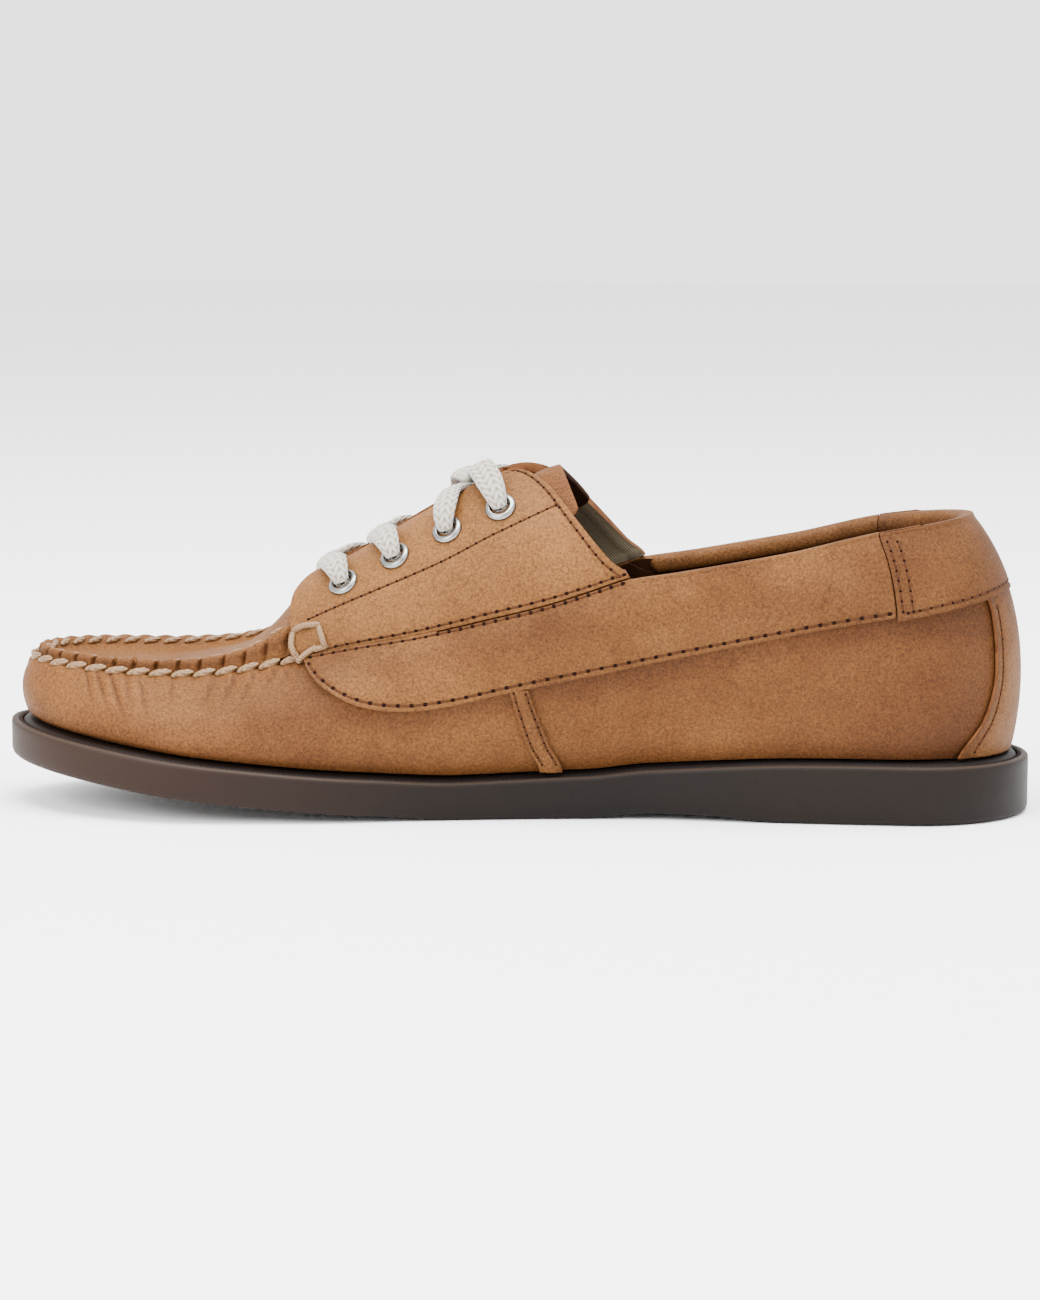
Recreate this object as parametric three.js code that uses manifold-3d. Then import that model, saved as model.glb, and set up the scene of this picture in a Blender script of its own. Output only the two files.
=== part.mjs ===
// A right boat shoe that stands empty on its sole: moulded sole, hollow upper with a moccasin toe, panels sewn
// over it, tongue, insole, eyelets and the visible runs of the lace. Millimetres, +X to the toe, +Y to the
// inner side of the foot, +Z up. The origin is on the floor, under the middle of the sole.
import * as THREE from "three";
import { mergeVertices } from "three/addons/utils/BufferGeometryUtils.js";
import Module from "manifold-3d";

const wasm = await Module();
wasm.setup();

// Main sizes of the shoe
const SOLE_LENGTH = 297;
const BALL_WIDTH = 102;
const HEEL_WIDTH = 67;
const TOE_HEIGHT = 43; // moccasin seam at the tip of the toe, above the floor
const INSTEP_HEIGHT = 100; // top of the quarters
const COLLAR_HEIGHT = 69; // top line where the quarter ends
const BACK_HEIGHT = 85; // top line behind the heel

// Sole
const HEEL_THICKNESS = 16.3;
const FOREPART_THICKNESS = 10.3;
const TOE_SPRING = 14;
const WAIST_ARCH = 1.5;
const RIM_STEP = 1.2; // the top of the sole stands this far above its side
const RIM_INSET = 1.9;
const SOLE_EDGE_ROUND = 1.6;
const TREAD_DEPTH = 1.6;
const TREAD_CHANNEL = 2;
const TREAD_PITCH = 12.5;
const TREAD_MARGIN = 9;

// Leathers and clearances
const WALL = 2; // upper leather and lining
const PANEL = 1.4; // side panels and quarters
const TAB = 1.7; // collar tab behind the heel
const STRAP = 1.1; // strips over the side seams and the back seam
const TONGUE = 1.8;
const TONGUE_RISE = 2.2; // how far the tongue's end stands up out of the throat
const TONGUE_BEND = { end: 0.445, start: 0.49 }; // shares of the sole length
const INSOLE = 3;
const SEAT_GAP = 0.3;
const SOLE_LEDGE = 4; // bare top of the sole outside the upper
const TOE_LEDGE = 5.5;
const HEEL_LEDGE = 6.5;

// Moccasin seam: a raised ridge where the apron is gathered into the wall
const RIDGE_HEIGHT = 3.4;
const RIDGE_SETBACK = 2.6;
const RIDGE_BREADTH = 2.4;
const APRON_TIP = 7.5; // from the front of the sole back to the seam
const APRON_ROUND = 28;

// Throat, eyelets and lace
const THROAT_HALF = 8.5;
const THROAT_FRONT = 0.7105 * SOLE_LENGTH; // from the back of the sole
const EYELETS = 4;
const FIRST_EYELET = 0.6575 * SOLE_LENGTH; // from the back of the sole
const EYELET_PITCH = 0.0505 * SOLE_LENGTH;
const EYELET_SPREAD = 21.5; // from the middle of the throat
const EYELET_HOLE = 2.5;
const EYELET_BARREL = 3;
const EYELET_FLANGE = 4.6;
const EYELET_BACK = 3.9;
const EYELET_RIM = 0.8;
const EYELET_CURL = 0.5;
const EYELET_SEAT = 1.3; // under the flat rims, because the leather is curved
const LACE_WIDTH = 7;
const LACE_THICKNESS = 2.6;
const LACE_IN_HOLE = 3.1;

// How finely the curved forms are cut into faces
const COLUMNS = 52;
const WALL_ROWS = 6;
const TOP_ROWS = [0.04, 0.09, 0.15, 0.24, 0.42, 0.7, 1];
const HOLE_SIDES = 10;
const LACE_SIDES = 8;
const TREAD_BENDS = 4;
const CUT_REACH = 200;
const HOLE_REACH = 24;
const CUT_DROP = 8;

// Plan of the sole. Stations are shares of its length from the heel, the middle line is in shares of the ball
// width, and the width is a share of the heel width plus a share of the ball width.
const SOLE_PLAN = [
  { at: 0.0, middle: 0.0, heel: 1.0, ball: 0.0 },
  { at: 0.115, middle: 0.0, heel: 1.0, ball: 0.0 },
  { at: 0.25, middle: -0.01, heel: 0.7, ball: 0.2 },
  { at: 0.38, middle: -0.04, heel: 0.4, ball: 0.42 },
  { at: 0.5, middle: -0.054, heel: 0.1, ball: 0.73 },
  { at: 0.62, middle: -0.04, heel: 0.0, ball: 0.93 },
  { at: 0.7, middle: -0.02, heel: 0.0, ball: 0.99 },
  { at: 0.8, middle: 0.015, heel: 0.0, ball: 0.98 },
  { at: 0.9, middle: 0.044, heel: 0.0, ball: 0.92 },
  { at: 1.0, middle: 0.064, heel: 0.0, ball: 0.86 },
];

// Side of the sole: rise of the tread as a share of the toe spring and of the waist arch, and thickness
// between the forepart, 0, and the heel, 1
const SOLE_SIDE = [
  { at: 0.0, spring: 0.0, arch: 0.0, heel: 1.0 },
  { at: 0.235, spring: 0.0, arch: 0.0, heel: 0.99 },
  { at: 0.3, spring: 0.0, arch: 0.85, heel: 0.6 },
  { at: 0.36, spring: 0.0, arch: 1.0, heel: 0.36 },
  { at: 0.425, spring: 0.0, arch: 0.0, heel: 0.27 },
  { at: 0.54, spring: 0.0, arch: 0.0, heel: 0.04 },
  { at: 0.62, spring: 0.1, arch: 0.0, heel: 0.0 },
  { at: 0.7, spring: 0.23, arch: 0.0, heel: 0.0 },
  { at: 0.8, spring: 0.45, arch: 0.0, heel: 0.0 },
  { at: 0.9, spring: 0.73, arch: 0.0, heel: 0.0 },
  { at: 1.0, spring: 1.0, arch: 0.0, heel: 0.0 },
];

// Sections of the last: where its middle line lies, how far the wall swells below and above, the half widths
// at the seam between wall and top on the inner and outer side, the heights of that seam and of the crest,
// and how round the top is
const LAST = [
  {
    at: 0.0, middle: 0.0, low: 0.05, high: 0.07, inner: 0.4 * HEEL_WIDTH, outer: 0.4 * HEEL_WIDTH,
    seam: 1.035 * BACK_HEIGHT, crest: 1.2 * BACK_HEIGHT, round: 2,
  },
  {
    at: 0.15, middle: 0.0, low: 0.05, high: 0.07, inner: 0.4 * HEEL_WIDTH, outer: 0.4 * HEEL_WIDTH,
    seam: 0.982 * BACK_HEIGHT, crest: 1.24 * BACK_HEIGHT, round: 2,
  },
  {
    at: 0.26, middle: 0.005, low: 0.055, high: 0.065, inner: 0.428 * HEEL_WIDTH, outer: 0.44 * HEEL_WIDTH,
    seam: 1.118 * COLLAR_HEIGHT, crest: 1.04 * INSTEP_HEIGHT, round: 2,
  },
  {
    at: 0.337, middle: 0.01, low: 0.065, high: 0.06, inner: 0.435 * HEEL_WIDTH, outer: 0.455 * HEEL_WIDTH,
    seam: 1.049 * COLLAR_HEIGHT, crest: 1.02 * INSTEP_HEIGHT, round: 2,
  },
  {
    at: 0.385, middle: 0.012, low: 0.07, high: 0.06, inner: 0.295 * BALL_WIDTH, outer: 0.312 * BALL_WIDTH,
    seam: 1.0 * COLLAR_HEIGHT, crest: 1.005 * INSTEP_HEIGHT, round: 2,
  },
  {
    at: 0.42, middle: 0.014, low: 0.07, high: 0.06, inner: 0.3 * BALL_WIDTH, outer: 0.323 * BALL_WIDTH,
    seam: 0.948 * COLLAR_HEIGHT, crest: 1.0 * INSTEP_HEIGHT, round: 2,
  },
  {
    at: 0.463, middle: 0.015, low: 0.07, high: 0.06, inner: 0.307 * BALL_WIDTH, outer: 0.34 * BALL_WIDTH,
    seam: 0.888 * COLLAR_HEIGHT, crest: 0.992 * INSTEP_HEIGHT, round: 2,
  },
  {
    at: 0.51, middle: 0.015, low: 0.07, high: 0.062, inner: 0.31 * BALL_WIDTH, outer: 0.353 * BALL_WIDTH,
    seam: 0.836 * COLLAR_HEIGHT, crest: 0.97 * INSTEP_HEIGHT, round: 2,
  },
  {
    at: 0.582, middle: 0.015, low: 0.066, high: 0.078, inner: 0.305 * BALL_WIDTH, outer: 0.36 * BALL_WIDTH,
    seam: 0.76 * COLLAR_HEIGHT, crest: 0.856 * INSTEP_HEIGHT, round: 2,
  },
  {
    at: 0.65, middle: 0.012, low: 0.06, high: 0.088, inner: 0.295 * BALL_WIDTH, outer: 0.355 * BALL_WIDTH,
    seam: 0.703 * COLLAR_HEIGHT, crest: 0.732 * INSTEP_HEIGHT, round: 2,
  },
  {
    at: 0.7, middle: 0.01, low: 0.054, high: 0.096, inner: 0.287 * BALL_WIDTH, outer: 0.34 * BALL_WIDTH,
    seam: 1.05 * TOE_HEIGHT, crest: 0.648 * INSTEP_HEIGHT, round: 1.9,
  },
  {
    at: 0.74, middle: 0.01, low: 0.05, high: 0.094, inner: 0.285 * BALL_WIDTH, outer: 0.333 * BALL_WIDTH,
    seam: 0.99 * TOE_HEIGHT, crest: 1.2 * TOE_HEIGHT, round: 1.7,
  },
  {
    at: 0.77, middle: 0.014, low: 0.048, high: 0.092, inner: 0.28 * BALL_WIDTH, outer: 0.333 * BALL_WIDTH,
    seam: 0.955 * TOE_HEIGHT, crest: 1.055 * TOE_HEIGHT, round: 1.6,
  },
  {
    at: 0.81, middle: 0.022, low: 0.044, high: 0.09, inner: 0.275 * BALL_WIDTH, outer: 0.335 * BALL_WIDTH,
    seam: 0.93 * TOE_HEIGHT, crest: 0.965 * TOE_HEIGHT, round: 1.5,
  },
  {
    at: 0.86, middle: 0.038, low: 0.043, high: 0.086, inner: 0.262 * BALL_WIDTH, outer: 0.34 * BALL_WIDTH,
    seam: 0.94 * TOE_HEIGHT, crest: 0.905 * TOE_HEIGHT, round: 1.5,
  },
  {
    at: 0.92, middle: 0.05, low: 0.042, high: 0.08, inner: 0.25 * BALL_WIDTH, outer: 0.342 * BALL_WIDTH,
    seam: 0.965 * TOE_HEIGHT, crest: 0.93 * TOE_HEIGHT, round: 1.5,
  },
  {
    at: 1.0, middle: 0.066, low: 0.042, high: 0.07, inner: 0.24 * BALL_WIDTH, outer: 0.342 * BALL_WIDTH,
    seam: 1.0 * TOE_HEIGHT, crest: 0.97 * TOE_HEIGHT, round: 1.5,
  },
];

// How the outline closes at its ends: the share of its length that the round of the heel takes, where the
// round of the toe starts on each side, and how full it is
const SOLE_ENDS = { heel: 0.115, toeInner: 0.77, toeOuter: 0.66, power: 2.2 };
const SHOULDER_ENDS = { heel: 0.12, toeInner: 0.83, toeOuter: 0.74, power: 2.2 };
const SEAM_ENDS = { heel: 0.125, toeInner: 0.87, toeOuter: 0.8, power: 2 };

// Reach of the wall at heel and toe, from the sole up to the seam
const HEEL_REACH = [HEEL_LEDGE, HEEL_LEDGE - 6.2, HEEL_LEDGE - 1.2, HEEL_LEDGE + 14];
const TOE_REACH = [
  SOLE_LENGTH - TOE_LEDGE,
  SOLE_LENGTH - TOE_LEDGE + 3.5,
  SOLE_LENGTH - APRON_TIP + 5,
  SOLE_LENGTH - APRON_TIP,
];
const SWELL_LOW = 0.36; // heights of the two points that pull the wall outwards, as shares of the wall
const SWELL_HIGH = 0.75;

// Lines seen from the side: shares of the sole length from the heel, and of the height named beside them
const TOP_LINE = [
  { at: -0.1, height: 1.06 * BACK_HEIGHT },
  { at: 0.059, height: 1.0 * BACK_HEIGHT },
  { at: 0.15, height: 0.957 * BACK_HEIGHT },
  { at: 0.26, height: 1.089 * COLLAR_HEIGHT },
  { at: 0.338, height: 1.027 * COLLAR_HEIGHT },
  { at: 0.381, height: 1.0 * COLLAR_HEIGHT },
];
const QUARTER_EDGE = [
  { at: 0.381, height: 1.0 * COLLAR_HEIGHT },
  { at: 0.4, height: 0.741 * INSTEP_HEIGHT },
  { at: 0.435, height: 0.854 * INSTEP_HEIGHT },
  { at: 0.47, height: 0.962 * INSTEP_HEIGHT },
  { at: 0.487, height: 1.0 * INSTEP_HEIGHT },
  { at: 0.506, height: 1.012 * INSTEP_HEIGHT },
];
const QUARTER_FRONT = [
  { at: 0.703, height: 1.05 * TOE_HEIGHT },
  { at: 0.713, height: 1.2 * TOE_HEIGHT },
  { at: 0.719, height: 0.57 * INSTEP_HEIGHT },
  { at: 0.715, height: 0.62 * INSTEP_HEIGHT },
  { at: 0.706, height: 0.67 * INSTEP_HEIGHT },
];
const PANEL_EDGE = [
  { at: 0.694, height: 0.64 * COLLAR_HEIGHT },
  { at: 0.673, height: 0.541 * COLLAR_HEIGHT },
  { at: 0.647, height: 0.487 * COLLAR_HEIGHT },
  { at: 0.595, height: 0.455 * COLLAR_HEIGHT },
  { at: 0.567, height: 0.465 * COLLAR_HEIGHT },
  { at: 0.491, height: 0.539 * COLLAR_HEIGHT },
  { at: 0.407, height: 0.616 * COLLAR_HEIGHT },
  { at: 0.31, height: 0.704 * COLLAR_HEIGHT },
  { at: 0.208, height: 0.793 * COLLAR_HEIGHT },
  { at: 0.135, height: 0.845 * COLLAR_HEIGHT },
];
const TAB_FRONT = [
  { at: 0.152, height: 1.0 * BACK_HEIGHT },
  { at: 0.15, height: 0.957 * BACK_HEIGHT },
  { at: 0.143, height: 0.9 * BACK_HEIGHT },
  { at: 0.137, height: 0.83 * BACK_HEIGHT },
  { at: 0.131, height: 0.72 * BACK_HEIGHT },
  { at: 0.13, height: 0.69 * BACK_HEIGHT },
];
const TAB_EDGE = [
  { at: 0.07, height: 0.73 * BACK_HEIGHT },
  { at: 0.025, height: 0.765 * BACK_HEIGHT },
  { at: -0.1, height: 0.785 * BACK_HEIGHT },
];
const BACK_STRIP = [
  { at: 0.075, height: 0.1 * BACK_HEIGHT },
  { at: 0.071, height: 0.218 * BACK_HEIGHT },
  { at: 0.047, height: 0.346 * BACK_HEIGHT },
  { at: 0.037, height: 0.51 * BACK_HEIGHT },
  { at: 0.041, height: 0.68 * BACK_HEIGHT },
  { at: 0.05, height: 0.72 * BACK_HEIGHT },
];
const SIDE_STRAP = [
  { front: 0.47, back: 0.446, height: 0.1 * COLLAR_HEIGHT },
  { front: 0.468, back: 0.446, height: 0.2 * COLLAR_HEIGHT },
  { front: 0.479, back: 0.457, height: 0.31 * COLLAR_HEIGHT },
  { front: 0.487, back: 0.466, height: 0.42 * COLLAR_HEIGHT },
  { front: 0.493, back: 0.475, height: 0.532 * COLLAR_HEIGHT },
];
const TONGUE_PLAN = [
  { at: 0.745, half: 0.19 },
  { at: 0.7, half: 0.215 },
  { at: 0.6, half: 0.235 },
  { at: 0.5, half: 0.25 },
  { at: 0.44, half: 0.25 },
  { at: 0.436, half: 0.2 },
  { at: 0.446, half: 0.12 },
  { at: 0.458, half: 0.05 },
];

// Smooth value of one column of a table between its stations
function along(table, column, at) {
  const last = table.length - 1;
  const clamped = Math.min(Math.max(at, table[0].at), table[last].at);
  let row = 0;
  while (row < last - 1 && table[row + 1].at < clamped) row += 1;
  const rate = (index) =>
    (table[index + 1][column] - table[index][column]) / (table[index + 1].at - table[index].at);
  const slope = (index) => {
    const before = rate(Math.max(index - 1, 0));
    const after = rate(Math.min(index, last - 1));
    if (before * after <= 0) return 0;
    const [from, to] = [table[Math.max(index - 1, 0)], table[Math.min(index + 1, last)]];
    return (to[column] - from[column]) / (to.at - from.at);
  };
  const span = table[row + 1].at - table[row].at;
  const u = (clamped - table[row].at) / span;
  return (
    (2 * u ** 3 - 3 * u ** 2 + 1) * table[row][column] +
    (u ** 3 - 2 * u ** 2 + u) * slope(row) * span +
    (3 * u ** 2 - 2 * u ** 3) * table[row + 1][column] +
    (u ** 3 - u ** 2) * slope(row + 1) * span
  );
}

// Share of the full width that an outline keeps near its two ends
function closing(ends, inner, at) {
  if (at < ends.heel) return Math.sqrt(Math.max(0, 1 - (1 - at / ends.heel) ** 2));
  const start = inner ? ends.toeInner : ends.toeOuter;
  if (at <= start) return 1;
  return Math.sqrt(Math.max(0, 1 - ((at - start) / (1 - start)) ** ends.power));
}

// Heights of the sole along its length
function treadHeight(share) {
  return TOE_SPRING * along(SOLE_SIDE, "spring", share) + WAIST_ARCH * along(SOLE_SIDE, "arch", share);
}
function sideHeight(share) {
  const mix = along(SOLE_SIDE, "heel", share);
  return treadHeight(share) + FOREPART_THICKNESS + (HEEL_THICKNESS - FOREPART_THICKNESS) * mix;
}
function deckHeight(share) {
  return sideHeight(share) + RIM_STEP;
}
function soleMiddle(share) {
  return BALL_WIDTH * along(SOLE_PLAN, "middle", share);
}
function soleHalf(share) {
  return (HEEL_WIDTH * along(SOLE_PLAN, "heel", share) + BALL_WIDTH * along(SOLE_PLAN, "ball", share)) / 2;
}

// Column of a ring: its share of the length and its side, from the heel round the inner side to the toe
function column(index, count = COLUMNS) {
  const turn = (2 * Math.PI * index) / count;
  return { at: (1 - Math.cos(turn)) / 2, inner: index <= count / 2 };
}

// A point of the last's wall, from the sole, rise 0, to the seam, rise 1
function wallPoint(inner, at, rise) {
  const side = inner ? 1 : -1;
  const half = inner ? "inner" : "outer";
  const controls = HEEL_REACH.map((heel, level) => {
    const x = heel + (TOE_REACH[level] - heel) * at;
    const share = x / SOLE_LENGTH;
    const foot = deckHeight(share) + SEAT_GAP;
    const seam = along(LAST, "seam", share);
    if (level < 2) {
      const swell = level === 0 ? 0 : BALL_WIDTH * along(LAST, "low", share);
      const width = (soleHalf(share) - SOLE_LEDGE + swell) * closing(SOLE_ENDS, inner, at);
      return [x, soleMiddle(share) + side * width, foot + (level ? SWELL_LOW * (seam - foot) : 0)];
    }
    const swell = level === 3 ? 0 : BALL_WIDTH * along(LAST, "high", share);
    const ends = level === 3 ? SEAM_ENDS : SHOULDER_ENDS;
    const width = (along(LAST, half, share) + swell) * closing(ends, inner, at);
    const middle = BALL_WIDTH * along(LAST, "middle", share);
    return [x, middle + side * width, level === 3 ? seam : foot + SWELL_HIGH * (seam - foot)];
  });
  const weights = [(1 - rise) ** 3, 3 * (1 - rise) ** 2 * rise, 3 * (1 - rise) * rise ** 2, rise ** 3];
  const sum = (axis) => controls.reduce((total, point, level) => total + weights[level] * point[axis], 0);
  return new THREE.Vector3(sum(0), sum(1), sum(2));
}

// A point of the last's top, from the seam, inward 0, to the crest line, inward 1
function topPoint(inner, at, inward, ridge) {
  const side = inner ? 1 : -1;
  const heel = HEEL_REACH[3] + APRON_ROUND * inward;
  const toe = TOE_REACH[3] - APRON_ROUND * inward;
  const x = heel + (toe - heel) * at;
  const share = x / SOLE_LENGTH;
  const half = along(LAST, inner ? "inner" : "outer", share) * closing(SEAM_ENDS, inner, at);
  const seam = along(LAST, "seam", share);
  const crest = along(LAST, "crest", share);
  const power = along(LAST, "round", share);
  const climb = (1 - Math.abs(1 - inward) ** power) ** (1 / power);
  const front = THREE.MathUtils.smoothstep(share, 0.7, 0.735);
  const beyond = (inward * APRON_ROUND - RIDGE_SETBACK) / RIDGE_BREADTH;
  const lift = ridge ? RIDGE_HEIGHT * front * Math.exp(-(beyond ** 2)) : 0;
  return new THREE.Vector3(
    x,
    BALL_WIDTH * along(LAST, "middle", share) + side * half * (1 - inward),
    seam + (crest - seam) * climb + lift,
  );
}

// Rings of points around the last, from the sole to the crest, all at the same columns
function lastRings({ ridge = false, rise = 0 }) {
  const rings = [];
  const ring = (make) => Array.from({ length: COLUMNS }, (_, index) => make(column(index)));
  for (let row = 0; row <= WALL_ROWS; row += 1) {
    rings.push(ring(({ at, inner }) => wallPoint(inner, at, row / WALL_ROWS)));
  }
  for (const inward of TOP_ROWS) rings.push(ring(({ at, inner }) => topPoint(inner, at, inward, ridge)));
  for (const point of rings.flat()) {
    const upward = 1 - THREE.MathUtils.smoothstep(point.x / SOLE_LENGTH, TONGUE_BEND.end, TONGUE_BEND.start);
    if (point.z > COLLAR_HEIGHT) point.z += rise * upward;
  }
  return rings;
}

// Outward direction at each point of the rings. The two halves of the crest ring are one line of points.
function ringNormals(rings) {
  const top = rings.length - 1;
  const key = (row, index) => (row === top ? Math.min(index, COLUMNS - index) : index) + row * COLUMNS;
  const sums = new Map();
  const add = (row, index, normal) => {
    const name = key(row, index);
    if (!sums.has(name)) sums.set(name, new THREE.Vector3());
    sums.get(name).add(normal);
  };
  for (let row = 0; row < top; row += 1) {
    for (let index = 0; index < COLUMNS; index += 1) {
      const next = (index + 1) % COLUMNS;
      const across = rings[row][next].clone().sub(rings[row + 1][index]);
      const up = rings[row + 1][next].clone().sub(rings[row][index]);
      const normal = up.cross(across);
      for (const [r, c] of [[row, index], [row, next], [row + 1, index], [row + 1, next]]) add(r, c, normal);
    }
  }
  return rings.map((ring, row) => ring.map((_, index) => sums.get(key(row, index)).clone().normalize()));
}

// A closed geometry through rings that mirror their columns about the first: sides, then a strip over each end
function ringGeometry(rings) {
  const count = rings[0].length;
  const positions = rings.flat().flatMap((point) => point.toArray());
  const faces = [];
  for (let row = 0; row < rings.length - 1; row += 1) {
    for (let index = 0; index < count; index += 1) {
      const a = row * count + index;
      const b = row * count + ((index + 1) % count);
      faces.push(a, a + count, b, b, a + count, b + count);
    }
  }
  for (const row of [0, rings.length - 1]) {
    for (let index = 0; index < count / 2; index += 1) {
      const near = [index, index + 1].map((c) => row * count + c);
      const far = [count - index, count - index - 1].map((c) => row * count + (c % count));
      const strip = [near[0], near[1], far[0], near[1], far[1], far[0]];
      faces.push(...(row === 0 ? strip : strip.reverse()));
    }
  }
  const geometry = new THREE.BufferGeometry();
  geometry.setAttribute("position", new THREE.Float32BufferAttribute(positions, 3));
  geometry.setIndex(faces);
  return geometry;
}

// A solid from any closed geometry, with its doubled points merged and its empty faces left out
function solid(geometry) {
  const bare = geometry.clone();
  bare.deleteAttribute("normal");
  bare.deleteAttribute("uv");
  const merged = mergeVertices(bare, 1e-4);
  const index = merged.index.array;
  const kept = [];
  for (let face = 0; face < index.length; face += 3) {
    const [a, b, c] = [index[face], index[face + 1], index[face + 2]];
    if (a !== b && b !== c && c !== a) kept.push(a, b, c);
  }
  return new wasm.Manifold(
    new wasm.Mesh({ numProp: 3, vertProperties: merged.attributes.position.array, triVerts: new Uint32Array(kept) }),
  );
}

// The last grown by an offset, with its foot drawn down by a drop so that it can cut through the seat
const plainLast = { rings: lastRings({}) };
const ridgedLast = { rings: lastRings({ ridge: true }) };
const tongueLast = { rings: lastRings({ rise: TONGUE_RISE }) };
for (const last of [plainLast, ridgedLast, tongueLast]) last.normals = ringNormals(last.rings);
function lastForm(offset, { last = plainLast, drop = 0 } = {}) {
  const { rings, normals } = last;
  const grown = rings.map((ring, row) =>
    ring.map((point, index) => {
      const moved = point.clone().addScaledVector(normals[row][index], offset);
      if (row === 0) moved.z = point.z;
      return moved;
    }),
  );
  if (drop) grown.unshift(grown[0].map((point) => new THREE.Vector3(point.x, point.y, point.z - drop)));
  return solid(ringGeometry(grown));
}

// Blocks that cut: an outline seen from the side, or from above
function sideBlock(points, from = -CUT_REACH, to = CUT_REACH) {
  const shape = new THREE.Shape(points.map(([x, z]) => new THREE.Vector2(x, z)));
  const block = new THREE.ExtrudeGeometry(shape, { depth: to - from, bevelEnabled: false });
  return solid(block.rotateX(Math.PI / 2).translate(0, to, 0));
}
function planBlock(points, from, to) {
  const shape = new THREE.Shape(points.map(([x, y]) => new THREE.Vector2(x, y)));
  const block = new THREE.ExtrudeGeometry(shape, { depth: to - from, bevelEnabled: false });
  return solid(block.translate(0, 0, from));
}

// The points of a side line, in millimetres, smoothed through its stations where asked
function sideLine(line, steps = 1) {
  const points = line.map((row) => new THREE.Vector3(row.at * SOLE_LENGTH, 0, row.height));
  if (steps === 1) return points.map((point) => [point.x, point.z]);
  const curve = new THREE.CatmullRomCurve3(points, false, "centripetal");
  return curve.getPoints(steps * (points.length - 1)).map((point) => [point.x, point.z]);
}
function shifted(points, dx, dz) {
  return points.map(([x, z]) => [x + dx, z + dz]);
}

// The line of the seam between wall and top, seen from the side, between two stations
function seamLine(from, to, steps) {
  return Array.from({ length: steps + 1 }, (_, index) => {
    const share = from + ((to - from) * index) / steps;
    return [share * SOLE_LENGTH, along(LAST, "seam", share)];
  });
}

// Sole: rings from the tread up the side to the raised rim, with channels across the tread
function soleRing(inset, height, count = COLUMNS) {
  const outline = Array.from({ length: count }, (_, index) => {
    const { at, inner } = column(index, count);
    const width = soleHalf(at) * closing(SOLE_ENDS, inner, at);
    return new THREE.Vector2(at * SOLE_LENGTH, soleMiddle(at) + (inner ? width : -width));
  });
  return outline.map((point, index) => {
    const before = outline[(index + count - 1) % count];
    const after = outline[(index + 1) % count];
    const tangent = after.clone().sub(before).normalize();
    const x = point.x + tangent.y * inset;
    const y = point.y - tangent.x * inset;
    return new THREE.Vector3(x, y, height(THREE.MathUtils.clamp(x / SOLE_LENGTH, 0, 1)));
  });
}
function treadChannel(share) {
  const x = share * SOLE_LENGTH;
  const half = soleHalf(share) - TREAD_MARGIN;
  const middle = soleMiddle(share);
  const wave = TREAD_PITCH / 3;
  const edge = (shift) =>
    Array.from({ length: TREAD_BENDS + 1 }, (_, bend) => [
      x + shift + (bend % 2 ? wave / 2 : -wave / 2),
      middle - half + (2 * half * bend) / TREAD_BENDS,
    ]);
  const outline = [...edge(-TREAD_CHANNEL / 2), ...edge(TREAD_CHANNEL / 2).reverse()];
  return planBlock(outline, -CUT_REACH, treadHeight(share) + TREAD_DEPTH);
}
function makeSole() {
  const low = SOLE_EDGE_ROUND;
  const rows = [
    [low, treadHeight],
    [low * 0.3, (share) => treadHeight(share) + low * 0.3],
    [0, (share) => treadHeight(share) + low],
    [0, (share) => sideHeight(share) - 0.8],
    [0.5, sideHeight],
    [RIM_INSET - 0.3, sideHeight],
    [RIM_INSET, (share) => sideHeight(share) + 0.8 * RIM_STEP],
    [RIM_INSET + 0.5, deckHeight],
  ];
  let sole = solid(ringGeometry(rows.map(([inset, height]) => soleRing(inset, height))));
  const step = TREAD_PITCH / SOLE_LENGTH;
  const areas = [{ from: 0.055, to: 0.235 }, { from: 0.44, to: 0.9 }];
  for (const { from, to } of areas) {
    for (let share = from; share < to; share += step) sole = sole.subtract(treadChannel(share));
  }
  return sole;
}

// Top line of the whole upper, with everything above and behind it cut away, and the slot of the throat
const collarLine = sideLine(TOP_LINE, 3);
const quarterLine = sideLine(QUARTER_EDGE, 3);
const openTop = sideBlock([
  ...collarLine,
  ...quarterLine.slice(1),
  [quarterLine.at(-1)[0], CUT_REACH],
  [-CUT_REACH, CUT_REACH],
]);
function throatSlot(half) {
  const middle = BALL_WIDTH * along(LAST, "middle", THROAT_FRONT / SOLE_LENGTH);
  const back = QUARTER_EDGE[1].at * SOLE_LENGTH;
  const front = THROAT_FRONT;
  return planBlock(
    [
      [back, middle - half],
      [front, middle - half],
      [front, middle + half],
      [back, middle + half],
    ],
    COLLAR_HEIGHT * 0.75,
    CUT_REACH,
  );
}

// A place on the top of the last at a distance from the middle of the throat, and its outward direction
function instepPlace(inner, x, distance) {
  const share = x / SOLE_LENGTH;
  const inward = 1 - distance / along(LAST, inner ? "inner" : "outer", share);
  const spot = (dx, dq) => {
    const q = inward + dq;
    const heel = HEEL_REACH[3] + APRON_ROUND * q;
    const toe = TOE_REACH[3] - APRON_ROUND * q;
    return topPoint(inner, (x + dx - heel) / (toe - heel), q, false);
  };
  const small = 0.01;
  const lengthwise = spot(small, 0).sub(spot(-small, 0));
  const crosswise = spot(0, small).sub(spot(0, -small));
  const normal = lengthwise.cross(crosswise).normalize();
  if (normal.z < 0) normal.negate();
  return { point: spot(0, 0), normal };
}
function eyeletPlace(inner, number) {
  return instepPlace(inner, FIRST_EYELET - EYELET_PITCH * (number - 1), EYELET_SPREAD);
}
function turnedTo(normal) {
  return new THREE.Quaternion().setFromUnitVectors(new THREE.Vector3(0, 1, 0), normal);
}
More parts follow.
